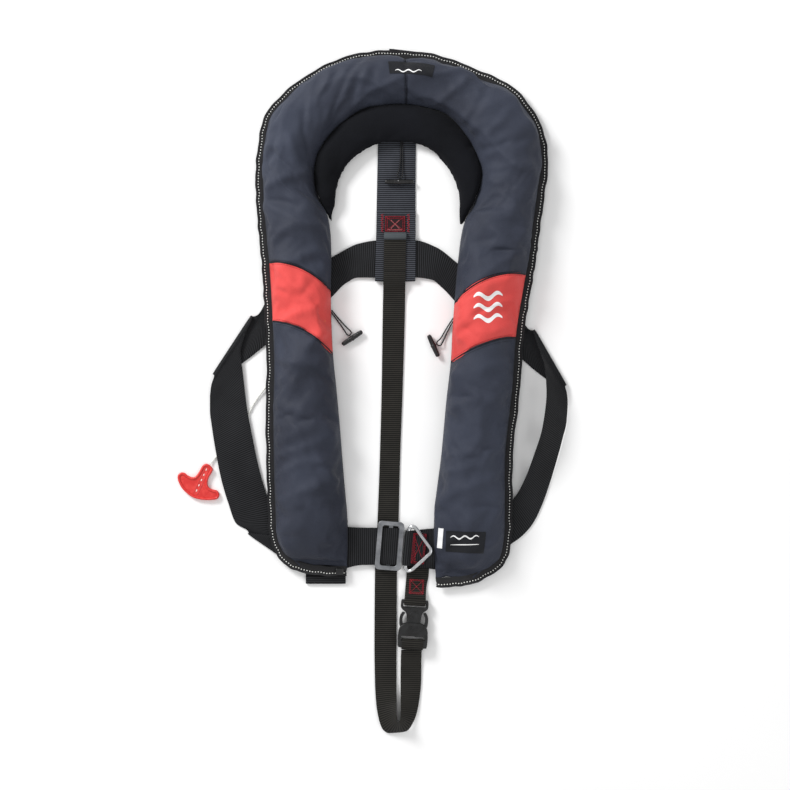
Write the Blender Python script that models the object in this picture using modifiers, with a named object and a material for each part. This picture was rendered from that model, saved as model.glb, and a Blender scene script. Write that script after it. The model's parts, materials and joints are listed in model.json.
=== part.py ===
"""Inflatable life jacket, lying on its back: horseshoe cover, folded bladder, harness and inflator.

Units are metres with +Z up. The outline below is written in millimetres about the jacket's own
drawing origin, and MM turns it into metres. The jacket's collar points to +Y.
"""
import math
import bpy
import bmesh
from mathutils import Vector

MM = 0.001

# Driving dimensions, in millimetres
WEB = 1.5              # thickness of the harness webbing
PANEL_Z = 4.2          # underside of the cover's back panel
SKIN = 1.0             # thickness of the cover's cloth
BAND = 12.0            # width of the zip band round the outer edge
BAND_Z = 6.4           # underside of the zip tapes
TAPE = 1.2             # thickness of a zip tape
GAP = 0.4              # clearance between neighbouring pieces
INNER_Z = 5.9          # lowest edge of the front cover
SPAN_STEPS = 2         # rows of faces between two stations of the outline

# Stations round the horseshoe, from the left lobe's end to the right one:
# inner edge x, y; outer edge x, y; crown height; bow of the row towards the collar
STATIONS = [
    (-29.3, -200, -91, -205, 9.0, -2),
    (-28.8, -189, -108, -191, 25, 0),
    (-28.0, -170, -118, -166, 36, 0),
    (-29.0, -140, -120, -138, 43, 0),
    (-33.0, -95, -121.5, -92, 45, 0),
    (-37.5, -38, -122.5, -30, 45, 3),
    (-41.5, 5, -121.5, 30, 45, 6),
    (-45.2, 42, -123.2, 79, 44, 8),
    (-47.0, 78, -125, 112, 44, 8),
    (-47.7, 115, -127.2, 146, 43, 8),
    (-47.0, 152, -130.5, 180, 42, 6),
    (-50.0, 195, -133.2, 215, 40, 3),
    (-64.0, 228, -134.2, 248, 38, 0),
    (-65.5, 256, -131, 282, 36, 0),
    (-58.5, 278, -122, 318, 36, 0),
    (-42.0, 300, -88, 353, 36, 0),
    (-12.1, 321.5, -40, 380, 36, 0),
    (14, 326.5, 2, 389.5, 36, 0),
    (38.5, 327.5, 38.5, 389.5, 36, 0),
    (61, 324, 75, 385, 36, 0),
    (86, 315, 122, 367.5, 36, 0),
    (107, 292, 164, 346, 36, 0),
    (119, 270, 193, 306, 37, 0),
    (124.8, 248, 201.5, 264, 38, 0),
    (118, 220, 197, 220, 40, 0),
    (104, 188, 191.5, 180, 42, 4),
    (97.5, 142, 188.7, 157, 43, 9),
    (94, 101, 184.6, 131, 44, 11),
    (91.5, 66, 178.6, 97, 44, 10),
    (89.8, 32.6, 173.4, 60, 45, 6),
    (84.5, -14, 169.2, 0, 45, 4),
    (78.8, -75, 161.5, -70, 44, 0),
    (71.8, -130, 160.8, -128, 41, 0),
    (70.3, -165, 159.8, -168, 36, 0),
    (71.2, -193, 151, -199, 25, 0),
    (72.6, -212.5, 122, -219, 9.0, -2),
]
# Ends of the zip band beyond the outline's first and last stations
BAND_START = [(-29.3, -213), (-62, -211.8)]
BAND_END = [(98, -224.4), (73, -226)]
# Panels of the front cover: first and last station, colour
PANELS = [
    ("cover_lower_left", 0, 7, "navy"),
    ("cover_chest_left", 7, 9, "red"),
    ("cover_collar_left", 9, 18, "navy"),
    ("cover_collar_right", 18, 27, "navy"),
    ("cover_chest_right", 27, 29, "red"),
    ("cover_lower_right", 29, 35, "navy"),
]
BLADDER = [("bladder_left", 0.35, 10.5), ("bladder_collar", 10.55, 25.38), ("bladder_right", 25.52, 34.65)]
# Bays for the inflator and the oral tube, where the bladder keeps to the inner side
BAYS = ((2.6, 7.6), (27.6, 31.6))
BAY_SHARE = 0.34
# Inner edge of the neck pad, one point for each station from PAD_FIRST on
PAD_FIRST = 11
PAD_INNER = [
    (-45.2, 193), (-40.8, 224), (-35.5, 246), (-24, 261.5), (-10, 273), (7, 281), (20, 283.5), (34, 284),
    (49, 281.5), (66, 274.5), (81, 259), (91, 243), (97.5, 224), (99, 205), (98.5, 188),
]
PAD_CROWN = 21.0

# Zip band: distances in from the outer edge, and the teeth's height
TAPE_OUTER = (0.0, 5.0)
TEETH = (5.4, 6.6)
TAPE_INNER = (7.0, BAND - 0.1)
TEETH_TALL = 1.9
SLIDER_BOX = ((-42, -210.6, 8.4), (-33, -203.4, 11.2))

# Webbing: heights of its middle where it lies on the surface
BELT_LOW = 1.15
STRAP_LOW = 0.95
CROTCH_LOW = 0.98
CROTCH_ON_EDGE = 2.0   # the crotch strap's outer edge where the strap stands in its turn
THIN_WEB = 1.3         # thickness of the loop and the keepers
TAB_WEB = 1.4

# D-ring: middle and height of its straight bar, wire radius, turn about Z and lean
RING_X, RING_Y, RING_Z = 39.8, -180.5, 6.6
RING_WIRE = 2.3
RING_TURN = -5.5
RING_LEAN = 13.0
RING_STEP = 4.0
# The ring's wire: distance from the bar, distance along it
RING_LINE = [
    (0, -21.5), (0, 21.5), (0.7, 23.6), (2.4, 25.3), (4.8, 25.7), (7.2, 24.6), (24.6, 5.6), (27.2, 3.0),
    (28.2, 0), (27.2, -3.0), (24.6, -5.6), (7.2, -24.6), (4.8, -25.7), (2.4, -25.3), (0.7, -23.6), (0, -21.5),
]
# Belt loop round the ring's bar
LOOP_R = RING_WIRE + GAP + WEB / 2
LOOP_HALF = 20.0

# Slide buckle on the belt: frame and window half sizes with corner radii, bar and posts
SLIDE_CENTRE = (19.6, -177.7)
SLIDE_TURN = -4.7
SLIDE_FRAME = (15.2, 28.0, 5)
SLIDE_WINDOW = (9.6, 23.0, 3)
SLIDE_BAR = (2.4, 26.4)
SLIDE_POST = (25.2, 1.4)

# Side-release buckle, in its own frame: the strap's slot is at +Y, the lower half at -Y
CLIP_CENTRE = (47.5, -262.0)
CLIP_TURN = -3.4
MALE_LINE = [
    (-13.5, 22), (13.5, 22), (15.5, 20.5), (15.5, 12.5), (13.4, 10.2), (8.2, 6.8), (8.2, -11.5),
    (-8.2, -11.5), (-8.2, 6.8), (-13.4, 10.2), (-15.5, 12.5), (-15.5, 20.5),
]
MALE_SLOT = [(-12.6, 14.0), (-12.6, 18.0), (12.6, 18.0), (12.6, 14.0)]
PRONG_LINE = [
    (10.6, 7.2), (13.4, 7.6), (15.6, 3.5), (16.0, -1.5), (15.2, -6), (14.8, -9.5), (11.5, -12.5),
    (9.8, -12.5), (11.8, -6), (12.8, -1.5), (12.4, 3), (11.0, 5.6),
]
PRONG_ROOT = (12.2, 6.6, 5.4)
FEMALE_BOX = ((-17, -32.6, 0.4), (17, -3.0, 10.6))
FEMALE_CUTS = [
    ((-20, -14.0, 2.2), (20, 0, 8.6)), ((-13.2, -24.5, -2), (13.2, -19.5, 13)),
    ((-13.2, -36, 3.2), (13.2, -22, 7.4)),
]

# Toggles: ends of each barrel and its height; their doubled cords, drawn as routes
TOGGLES = [
    ("toggle_left", (-34.7, 53), (-11.7, 68.2), 4.0),
    ("toggle_right", (64.5, 64.1), (75.6, 39.2), 4.0),
    ("toggle_back", (14.4, 239.8), (47.2, 239.8), 5.6),
]
CORD_R = 0.75
CORD_GAP = (0.95, 2.9)     # half the distance between the strands at the cover and at the toggle
TOGGLE_CORDS = [
    ("toggle_cord_left", [(-47.6, 92, 3.2), (-42.5, 85.5, 2.6), (-37.2, 78.8, 1.6), (-31.5, 71.8, 1.6),
                          (-27.3, 66.7, 3.4)]),
    ("toggle_cord_right", [(94, 83.4, 3.2), (89.5, 76.6, 2.6), (84.4, 67.6, 1.6), (80.3, 59.4, 1.6),
                           (76.8, 54.8, 3.4)]),
    ("toggle_cord_back", [(34, 288, 3.4), (33.6, 276, 3.0), (33.4, 264, 2.9), (32.7, 254, 3.2),
                          (31.6, 247.2, 4.8)]),
]

# Pull handle: ends of its stem's middle line, and its outline along and beside that line
STEM_TOP = (-189.2, -87.7)
STEM_LOW = (-204.1, -119.9)
HANDLE_THICK = (0.2, 5.4)
# The handle's outline: distance along its stem, distance to the side
HANDLE_LINE = [
    (2.1, -6.3), (-0.9, -5.3), (-3.0, -2.8), (-3.1, 1.1), (-1.1, 5.5), (1.2, 6.9), (6.0, 6.5), (11.3, 6.1),
    (16.4, 7.5), (19.5, 9.6), (21.0, 13.0), (20.6, 17.3), (19.9, 21.2), (21.8, 24.5), (25.1, 26.1),
    (29.0, 25.0), (32.2, 20.3), (35.4, 13.8), (38.0, 5.7), (38.7, -2.0), (37.1, -9.7), (34.5, -16.6),
    (29.9, -22.8), (25.3, -26.4), (21.6, -27.0), (18.2, -24.9), (17.2, -21.3), (18.1, -17.3),
    (18.3, -12.5), (16.6, -9.1),
    (13.0, -7.5), (7.4, -6.7),
]
LANYARD = [
    (-95.5, 45, 11), (-96, 44.4, 8.4), (-97, 43, 5.2), (-99, 40, 3.0), (-104, 32, 2.6), (-111, 22, 2.6),
    (-118, 11.5, 2.6), (-124, 2, 2.2), (-131, -7, 1.5), (-137.5, -17, 1.2), (-144, -30, 1.2),
    (-155, -46, 1.15), (-168, -62, 1.15), (-178, -74, 1.2), (-184, -81, 1.5), (-186.4, -84.4, 2.2),
]
LANYARD_R = 0.9

# Inner works: the inflator's bore axis, and the slot in the back panel for the lanyard
CYL_X, CYL_Z = -81.5, 21.9
SLOT_CENTRE = (-105.0, 32.0)
SLOT_TURN = 54.4
SLOT_HALF = (19.0, 2.6)
CYLINDER_Y = -122.5
CYLINDER_PROFILE = [
    (0, 3), (1.5, 9), (5, 14), (9, 16), (96, 16), (103, 14), (108, 9.5), (110.5, 6.6), (111, 6.35),
    (128, 6.35), (129, 5.6),
]
PIN_Y = 12.5
PIN_PROFILE = [(0, 0.5), (3, 2.2), (8, 2.2), (8.2, 6.4), (11, 6.4), (11.2, 2.2), (24, 2.2)]
COIL_R, COIL_WIRE, COIL_TURNS = 4.6, 0.6, 5
COIL_Y = (24.6, 34.6)
CARTRIDGE_PROFILE = [(0, 6.0), (0.6, 6.6), (9, 6.6), (9.6, 6.0)]
AUTO_CAP_Y = 38.2
AUTO_CAP_PROFILE = [(0, 9.8), (0.8, 10.5), (15, 10.5), (17, 8.5)]
LEVER_X, LEVER_Y = CYL_X - 3, 43.0
LEVER_LINE = [
    (-2.4, -4.2), (2.4, -4.2), (4.2, -2.4), (4, 4), (-6, 12), (-10.5, 8), (-4.2, -2.4),
]
LEVER_HOLE = [(-1.8, -1.8), (-1.8, 1.8), (1.8, 1.8), (1.8, -1.8)]
ORAL_X, ORAL_Z = 140.0, 17.0
ORAL_TUBE = [(0, 7), (1, 8), (3, 8), (4, 6), (58, 6), (59, 5.6)]
ORAL_VALVE = [(0, 6.4), (1, 7), (14, 7), (15, 5), (20, 5), (21, 4)]
ORAL_CAP_Y = -25.2
ORAL_CAP = [(0, 8.0), (1, 8.6), (11, 8.6), (12, 7.6)]
WHISTLE_CORD = [(122, 27, 12), (121, 32, 14), (118.5, 38, 20), (119, 43, 25), (122, 48, 25)]

# Woven labels: first and last station, and their shares across the cover
LABELS = [("collar_label", 17.4, 19.0, 0.60, 0.86), ("lobe_label", 32.8, 33.6, 0.17, 0.72)]
LABEL_LIFT, LABEL_THICK = 0.55, 0.5

# From the drawing origin to the middle of the jacket's footprint, on the surface it lies on
PLACE = (-1.2, -0.15, -0.2)

COLOURS = {
    "navy": (0.050, 0.060, 0.085), "red": (0.85, 0.11, 0.11), "pad": (0.010, 0.010, 0.015),
    "black": (0.012, 0.012, 0.013), "steel": (0.62, 0.63, 0.63), "white": (0.8, 0.8, 0.78),
    "yellow": (0.85, 0.62, 0.03), "grey": (0.25, 0.26, 0.27), "brass": (0.75, 0.55, 0.25),
    "green": (0.05, 0.35, 0.12),
}
METALS = ("steel", "brass")


def clear_scene():
    for ob in list(bpy.data.objects):
        bpy.data.objects.remove(ob, do_unlink=True)


def make_collection(name):
    coll = bpy.data.collections.new(name)
    bpy.context.scene.collection.children.link(coll)
    return coll


def new_material(name, key):
    """A Principled material of the sub-part's own colour."""
    mat = bpy.data.materials.new(name)
    mat.use_nodes = True
    shader = mat.node_tree.nodes["Principled BSDF"]
    shader.inputs["Base Color"].default_value = (*COLOURS[key], 1.0)
    shader.inputs["Metallic"].default_value = 1.0 if key in METALS else 0.0
    shader.inputs["Roughness"].default_value = 0.3 if key in METALS else 0.75
    mat.diffuse_color = (*COLOURS[key], 1.0)
    return mat


def finish_object(ob, name, colour, parent=None):
    """Names the object, gives it its material and puts it in the jacket's collection."""
    ob.name = name
    ob.data.name = name
    ob.data.materials.clear()
    ob.data.materials.append(new_material(name, colour))
    for coll in list(ob.users_collection):
        coll.objects.unlink(ob)
    JACKET.objects.link(ob)
    if parent:
        bpy.context.view_layer.update()
        ob.parent = parent
        ob.matrix_parent_inverse = parent.matrix_world.inverted()
    return ob


def mesh_object(name, verts, faces, colour, parent=None, smooth=True):
    """A mesh from points in millimetres."""
    mesh = bpy.data.meshes.new(name)
    mesh.from_pydata([(x * MM, y * MM, z * MM) for x, y, z in verts], [], faces)
    mesh.validate()
    ob = bpy.data.objects.new(name, mesh)
    bpy.context.scene.collection.objects.link(ob)
    if smooth:
        mesh.shade_smooth()
        mesh.set_sharp_from_angle(angle=math.radians(40))
    return finish_object(ob, name, colour, parent)


def add_modifier(ob, kind, **settings):
    mod = ob.modifiers.new(kind.title(), kind)
    for key, value in settings.items():
        setattr(mod, key, value)
    return mod


def pivot(name, place):
    """An empty that marks a joint's axis."""
    empty = bpy.data.objects.new(name, None)
    JACKET.objects.link(empty)
    empty.location = [c * MM for c in place]
    empty.empty_display_size = 0.01
    bpy.context.view_layer.update()
    return empty


def spline(points, t):
    """Catmull-Rom value at t, counted in points, for tuples of any length."""
    last = len(points) - 1
    i = min(int(t), last - 1)
    f = t - i
    p1, p2 = points[i], points[i + 1]
    p0 = points[i - 1] if i > 0 else [2 * a - b for a, b in zip(p1, p2)]
    p3 = points[i + 2] if i + 2 <= last else [2 * b - a for a, b in zip(p1, p2)]
    out = []
    for a, b, c, d in zip(p0, p1, p2, p3):
        out.append(0.5 * (2 * b + (c - a) * f + (2 * a - 5 * b + 4 * c - d) * f * f
                          + (3 * b - a - 3 * c + d) * f ** 3))
    return out


def resample(points, count):
    """Points at equal steps of a smooth curve through the given ones."""
    fine = [Vector(spline(points, i * (len(points) - 1) / 600)) for i in range(601)]
    run = [0.0]
    for a, b in zip(fine, fine[1:]):
        run.append(run[-1] + (b - a).length)
    out, k = [], 0
    for i in range(count):
        want = run[-1] * i / (count - 1)
        while k < 599 and run[k + 1] < want:
            k += 1
        share = (want - run[k]) / max(run[k + 1] - run[k], 1e-9)
        out.append(fine[k].lerp(fine[k + 1], min(share, 1.0)))
    return out


def grid_faces(rows, cols):
    """Quads over a grid of points stored row by row."""
    return [(r * cols + c, r * cols + c + 1, (r + 1) * cols + c + 1, (r + 1) * cols + c)
            for r in range(rows - 1) for c in range(cols - 1)]


# ---------------------------------------------------------------- horseshoe surface

def rim_point(t):
    """Outer edge and its inward normal at station value t, in the plane."""
    here = Vector(spline(STATIONS, t)[2:4])
    before = Vector(spline(STATIONS, max(t - 0.05, 0))[2:4])
    after = Vector(spline(STATIONS, min(t + 0.05, len(STATIONS) - 1))[2:4])
    along = (after - before).normalized()
    return here, Vector((along.y, -along.x))


def row_line(t):
    """Inner edge, the cover's outer edge inside the zip band, crown height and bow at t."""
    x, y, _, _, crown, bow = spline(STATIONS, t)
    edge, inward = rim_point(t)
    return Vector((x, y)), edge + inward * (BAND + GAP), crown, bow


def pillow(u, crown, low, high):
    """Height across a lobe: low at the inner edge, high at the zip, the crown between."""
    base = low + (high - low) * u
    swell = max(1 - abs(2 * u - 1) ** 2.5, 0.0) ** 0.55
    return base + (crown - base) * swell


def cover_point(t, u, sink=0.0, shift=0.0):
    """A point of the front cover; sink lowers the crown, and shift draws both edges in."""
    inner, outer, crown, bow = row_line(t)
    across = outer - inner
    unit = across.normalized()
    start = inner + unit * shift
    place = start + (outer - unit * shift - start) * u
    rise = math.copysign(bow * 4 * u * (1 - u), across.x)
    place = place + Vector((-across.y, across.x)).normalized() * rise
    z = pillow(u, max(crown - sink, INNER_Z + 1.5), INNER_Z, BAND_Z + 1.8)
    return place.x, place.y, z


def across_steps(count):
    return [0.5 * (1 - math.cos(math.pi * k / count)) for k in range(count + 1)]


def rows_between(first, last):
    """Station values from first to last, with a hair's breadth left free at both ends."""
    first, last = first + 0.008, last - 0.008
    count = max(2, round((last - first) * SPAN_STEPS))
    return [first + (last - first) * i / count for i in range(count + 1)]


def make_cover_panel(name, first, last, colour):
    steps = across_steps(8)
    rows = rows_between(first, last)
    verts = [cover_point(t, u) for t in rows for u in steps]
    ob = mesh_object(name, verts, grid_faces(len(rows), len(steps)), colour)
    add_modifier(ob, "SOLIDIFY", thickness=SKIN * MM, offset=-1.0 if faces_up(ob) else 1.0)
    return ob


def faces_up(ob):
    return sum(p.normal.z * p.area for p in ob.data.polygons) > 0


def closed_loft(name, rings, colour, parent=None, smooth=True):
    """A closed body from rings with the same number of points, capped at both ends."""
    size = len(rings[0])
    verts = [p for ring in rings for p in ring]
    faces = []
    for r in range(len(rings) - 1):
        for c in range(size):
            d = (c + 1) % size
            faces.append((r * size + c, r * size + d, (r + 1) * size + d, (r + 1) * size + c))
    faces.append(tuple(reversed(range(size))))
    faces.append(tuple(range((len(rings) - 1) * size, len(rings) * size)))
    ob = mesh_object(name, verts, faces, colour, parent, smooth)
    outward(ob)
    return ob


def outward(ob):
    """Turns every face outward."""
    work = bmesh.new()
    work.from_mesh(ob.data)
    bmesh.ops.recalc_face_normals(work, faces=work.faces)
    work.to_mesh(ob.data)
    work.free()


def bladder_share(t):
    """How much of the lobe's width the folded bladder fills at t."""
    return BAY_SHARE if any(first < t < last for first, last in BAYS) else 0.90


def make_bladder(name, first, last):
    """The folded bladder fills the cover apart from the inflator's bay."""
    rows = rows_between(first, last)
    edges = [t for bay in BAYS for t in bay if first < t < last]
    for t in edges:
        rows += [t - 0.02, t + 0.02]
    rings = []
    for t in sorted(rows):
        share = bladder_share(t)
        steps = [0.06 + (share - 0.06) * k / 5 for k in range(6)]
        top = [cover_point(t, u, sink=3.0, shift=2.0) for u in steps]
        top = [(x, y, max(z - 2.0, PANEL_Z + SKIN + 2.2)) for x, y, z in top]
        floor = PANEL_Z + SKIN + 1.2
        low = [(top[5][0], top[5][1], floor), (top[0][0], top[0][1], floor)]
        rings.append(top + low)
    closed_loft(name, rings, "yellow", smooth=False)


def make_back_panel():
    """The back of the cover: flat between the edges, rising to meet the zip band."""
    rows = rows_between(0, len(STATIONS) - 1)
    verts = []
    for t in rows:
        for u, z in ((0, PANEL_Z), (0.5, PANEL_Z), (0.85, PANEL_Z), (1, 5.0)):
            x, y, _ = cover_point(t, u)
            verts.append((x, y, z))
    ob = mesh_object("cover_back_panel", verts, grid_faces(len(rows), 4), "black")
    add_modifier(ob, "SOLIDIFY", thickness=SKIN * MM, offset=1.0 if faces_up(ob) else -1.0)
    x, y = SLOT_CENTRE
    half_x, half_y = SLOT_HALF
    cut(ob, (x - half_x, y - half_y, 2), (x + half_x, y + half_y, 9), SLOT_TURN, SLOT_CENTRE)


def band_curve():
    """Points along the zip band's outer edge, from the left lobe's inner corner to the right's."""
    edge = [tuple(p) for p in BAND_START]
    edge += [tuple(s[2:4]) for s in STATIONS]
    edge += [tuple(p) for p in BAND_END]
    return edge


def band_strip(name, insets, low, thick, colour):
    """A strip of the zip band between two distances in from the outer edge."""
    edge = band_curve()
    count = (len(edge) - 1) * 2 + 1
    verts = []
    for i in range(count):
        t = i * (len(edge) - 1) / (count - 1)
        here = Vector(spline(edge, t))
        ahead = Vector(spline(edge, min(t + 0.05, len(edge) - 1)))
        behind = Vector(spline(edge, max(t - 0.05, 0)))
        along = (ahead - behind).normalized()
        inward = Vector((along.y, -along.x))
        for inset in insets:
            place = here + inward * inset
            verts.append((place.x, place.y, low))
    ob = mesh_object(name, verts, grid_faces(count, len(insets)), colour)
    add_modifier(ob, "SOLIDIFY", thickness=thick * MM, offset=1.0 if faces_up(ob) else -1.0)


# ---------------------------------------------------------------- webbing

def ribbon(name, stations, thick=WEB, steps=3):
    """Webbing through pairs of edge points (left x, y, z, right x, y, z), smooth between them."""
    verts = []
    count = (len(stations) - 1) * steps + 1
    for i in range(count):
        row = spline(stations, i / steps)
        verts += [tuple(row[:3]), tuple(row[3:])]
    ob = mesh_object(name, verts, grid_faces(count, 2), "black")
    add_modifier(ob, "SOLIDIFY", thickness=thick * MM, offset=0.0, use_even_offset=False)


def flat(x0, y0, x1, y1, z, z1=None):
    """One station of a ribbon lying flat at height z."""
    return (x0, y0, z, x1, y1, z if z1 is None else z1)


def fold(start, end, out, low, high, steps=5):
    """Stations round a crease from low to high, the roll bulging by out."""
    rows = []
    radius = (high - low) / 2
    for k in range(steps + 1):
        turn = math.pi * k / steps
        bulge = math.sin(turn) * radius
        z = low + radius * (1 - math.cos(turn))
        rows.append((start[0] + out[0] * bulge, start[1] + out[1] * bulge, z,
                     end[0] + out[0] * bulge, end[1] + out[1] * bulge, z))
    return rows


def make_belt_left():
    """Left half of the waist belt: from the back strap's loop round the side to the buckle."""
    low = BELT_LOW
    rows = [flat(26, 172.6, 26, 130, 3.1), flat(6, 172.6, 4, 130, 3.1), flat(-16, 169, -16, 130, 2.7),
            flat(-42, 156, -30, 124, low), flat(-74, 137, -52, 103, low), flat(-116, 111, -93, 76, low)]
    rows += fold((-139.7, 91.7), (-182.3, 17), (-0.87, 0.49), low, 5.2)
    rows += [flat(-147, 62, -185, 6, 5.0), flat(-151, 44, -186.5, -8, 4.6),
             flat(-148, 14, -186.6, -22, 3.4), flat(-144, -20, -184, -44, 3.2),
             flat(-138, -52, -179.5, -72, 3.2), flat(-131.5, -84, -174, -100, 3.0),
             flat(-124, -112, -166, -128, 1.6), flat(-112, -148, -157, -152, low)]
    rows += fold((-83.4, -210.3), (-144.3, -167), (-0.58, -0.81), low, 2.9, steps=4)
    rows += [flat(-64, -207, -110, -166, 2.9), flat(-44, -205, -70, -160.5, 2.9),
             flat(-31, -204, -33, -156, 3.0), flat(-22, -201.5, -22, -156.8, 4.5),
             flat(-12, -200, -12, -157, 4.6), flat(31.0, -199.6, 34.2, -157.4, 4.6)]
    ribbon("waist_belt_left", rows)


def make_belt_right():
    """Right half of the waist belt, ending in the sewn loop round the D-ring's bar."""
    low = BELT_LOW
    rows = [flat(26.6, 172.6, 26.6, 130, 3.1), flat(49, 172.6, 49, 130, 3.1), flat(73, 165, 68, 127.5, 2.7),
            flat(96, 148, 80, 118.5, low), flat(128, 122, 108, 89, low), flat(165, 93, 141, 64, low)]
    rows += fold((187.5, 69.9), (221.4, 4.3), (0.89, 0.46), low, 5.2)
    rows += [flat(192, 45, 223, -3, 10, 4.6), flat(197.2, 25, 224, -14, 18, 3.0),
             flat(198.4, -2, 223, -34, 24, 1.2), flat(194, -40, 218, -56, 25, low),
             flat(184, -74, 208, -92, 21, low), flat(173, -104, 196, -128, 12, low),
             flat(162, -124, 184, -153, 3.4, low), flat(146, -135, 168, -170, 2.6, 1.4),
             flat(124, -146, 136, -188, 2.7), flat(98, -154, 104, -199, 2.7),
             flat(76, -157.5, 78, -205.5, 2.7), flat(61, -158.8, 60, -203.5, 2.7)]
    for turn in range(-90, 91, 30):
        a = math.radians(turn)
        rows.append(beside_ring(-LOOP_R * math.cos(a), RING_Z + LOOP_R * math.sin(a)))
    rows += [beside_ring(4, 8.3), beside_ring(9, 4.9), beside_ring(21, 4.7)]
    ribbon("waist_belt_right", rows)


def beside_ring(offset, z):
    """A ribbon station along the D-ring's bar, so far to its right, at height z."""
    middle = (RING_X, RING_Y)
    top = turned_place((RING_X + offset, RING_Y + LOOP_HALF, z), middle, RING_TURN)
    low = turned_place((RING_X + offset, RING_Y - LOOP_HALF, z), middle, RING_TURN)
    return flat(top.x, top.y, low.x, low.y, z)


def make_back_strap():
    """Back webbing: down from the collar, round the waist belt and back up to its box stitching."""
    low = STRAP_LOW
    rows = [flat(8, 330, 52, 330, low), flat(6.3, 281, 50, 281, low), flat(5, 220, 49.5, 220, low),
            flat(3.6, 150, 49.4, 150, low), flat(3.1, 133, 49.3, 133, 1.02)]
    rows += fold((3, 128.3), (49.3, 128.3), (0, -1), low, 5.4)
    rows += [flat(3.6, 150, 49.4, 150, 5.4), flat(4.2, 174, 49.5, 174, 5.3),
             flat(4.4, 184, 49.6, 184, 3.0), flat(5, 206, 49.6, 206, 2.9)]
    ribbon("back_strap", rows)


def make_crotch_strap():
    """Crotch strap: from the back strap down the middle, round a standing turn to the buckle."""
    low, on_edge = CROTCH_LOW, CROTCH_ON_EDGE
    rows = [flat(13.5, 180, 38.8, 180, 7.2), flat(13, 150, 38.2, 150, 7.2), flat(12.7, 130, 38, 130, 7.2),
            flat(12.5, 122, 37.8, 122, 5.8), flat(12.3, 112, 37.6, 112, 2.4), flat(12, 98, 37.4, 98, 1.15),
            flat(10.5, 0, 34.6, 0, low), flat(8.4, -80, 31.7, -80, low), flat(5.8, -149, 30, -149, low),
            flat(2.9, -208, 28.2, -208, low), flat(2.3, -294, 27.6, -294, low),
            flat(2.9, -335, 27.6, -334, 1.1, 1.8), flat(4.2, -358, 27.8, -354, low + 0.3, 5),
            flat(7, -375, 27.7, -366, on_edge, 11), flat(11.5, -388, 27.8, -373, on_edge, 16),
            flat(18.5, -393, 28.5, -376.5, on_edge, 18.5), flat(28, -392.6, 30, -377.5, on_edge, 19.3),
            flat(38.5, -391, 31.5, -376.5, on_edge, 18.5), flat(46, -382, 32.6, -373, on_edge, 16),
            flat(51, -369, 32.7, -366, on_edge, 11), flat(54.2, -352, 32.3, -352, low + 0.3, 5),
            flat(56, -331, 32.3, -331, 1.2, 1.9), flat(56.2, -308, 32.6, -308, 2.6),
            flat(56.6, -297.5, 33, -297.5, 4.6)]
    ribbon("crotch_strap", rows)


def make_short_straps():
    """Collar loop, belt keepers and the tab that carries the buckle's upper half."""
    rows = [flat(15, 338, 59, 338, 0.9), flat(18, 372, 62.5, 370, 0.9)]
    rows += fold((19.3, 391.8), (63.6, 386.6), (0.1, 1), 0.9, 3.0, steps=3)
    rows += [flat(18.5, 376, 62.8, 373, 3.0)]
    ribbon("collar_loop", rows, thick=THIN_WEB, steps=2)
    rows = [flat(-77, -150, -31, -150, 0.9), flat(-77, -190, -31, -190, 0.9)]
    rows += fold((-76.5, -220.3), (-30.8, -220.3), (0, -1), 0.9, 3.0, steps=3)
    rows += [flat(-76.6, -213, -30.8, -213, 3.0)]
    ribbon("belt_keeper_left", rows, thick=THIN_WEB, steps=2)
    rows = [flat(88, -146, 128, -146, 0.9), flat(88, -213, 128, -213, 0.9)]
    ribbon("belt_keeper_right", rows, thick=THIN_WEB)
    rows = [flat(40.5, -186, 66, -186, 0.9), flat(39, -212, 64.5, -212, 0.9), flat(37.8, -226, 62, -226, 1.2),
            flat(37.2, -233, 61.5, -234, 3.2), flat(36.9, -238.2, 61.2, -239.6, 4.6)]
    ribbon("crotch_tab", rows, thick=TAB_WEB)


# ---------------------------------------------------------------- simple solids

def box_solid(name, low, high, colour, parent=None, bevel=0.8, segments=2):
    """A box between two corners, with rounded edges."""
    work = bmesh.new()
    bmesh.ops.create_cube(work, size=1.0)
    size = [(b - a) * MM for a, b in zip(low, high)]
    mid = [(a + b) / 2 * MM for a, b in zip(low, high)]
    for v in work.verts:
        v.co = Vector([v.co[i] * size[i] + mid[i] for i in range(3)])
    if bevel:
        bmesh.ops.bevel(work, geom=work.edges[:], offset=bevel * MM, segments=segments,
                        affect="EDGES", profile=0.5)
    mesh = bpy.data.meshes.new(name)
    work.to_mesh(mesh)
    work.free()
    ob = bpy.data.objects.new(name, mesh)
    bpy.context.scene.collection.objects.link(ob)
    mesh.shade_smooth()
    mesh.set_sharp_from_angle(angle=math.radians(35))
    return finish_object(ob, name, colour, parent)


def turned(name, profile, centre, axis, colour, parent=None, sides=24):
    """A solid of revolution: (distance along the axis, radius) pairs, closed at both ends."""
    line = Vector(axis).normalized()
    side = line.orthogonal().normalized()
    other = line.cross(side)
    rings = []
    for along, radius in profile:
        ring = []
        for k in range(sides):
            a = 2 * math.pi * k / sides
            ring.append(Vector(centre) + line * along + (side * math.cos(a) + other * math.sin(a)) * radius)
        rings.append(ring)
    return closed_loft(name, rings, colour, parent)


def tube(name, points, radius, colour, count, parent=None, closed=False):
    """A round tube along a smooth curve through the route's points."""
    data = bpy.data.curves.new(name, "CURVE")
    data.dimensions = "3D"
    spot = data.splines.new("POLY")
    route = resample(points, count)
    if closed:
        route = route[:-1]
    spot.points.add(len(route) - 1)
    for point, place in zip(spot.points, route):
        point.co = (*(place * MM), 1.0)
    spot.use_cyclic_u = closed
    data.bevel_depth = radius * MM
    data.bevel_resolution = 2
    data.use_fill_caps = not closed
    ob = bpy.data.objects.new(name, data)
    bpy.context.scene.collection.objects.link(ob)
    return finish_object(ob, name, colour, parent)


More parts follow.
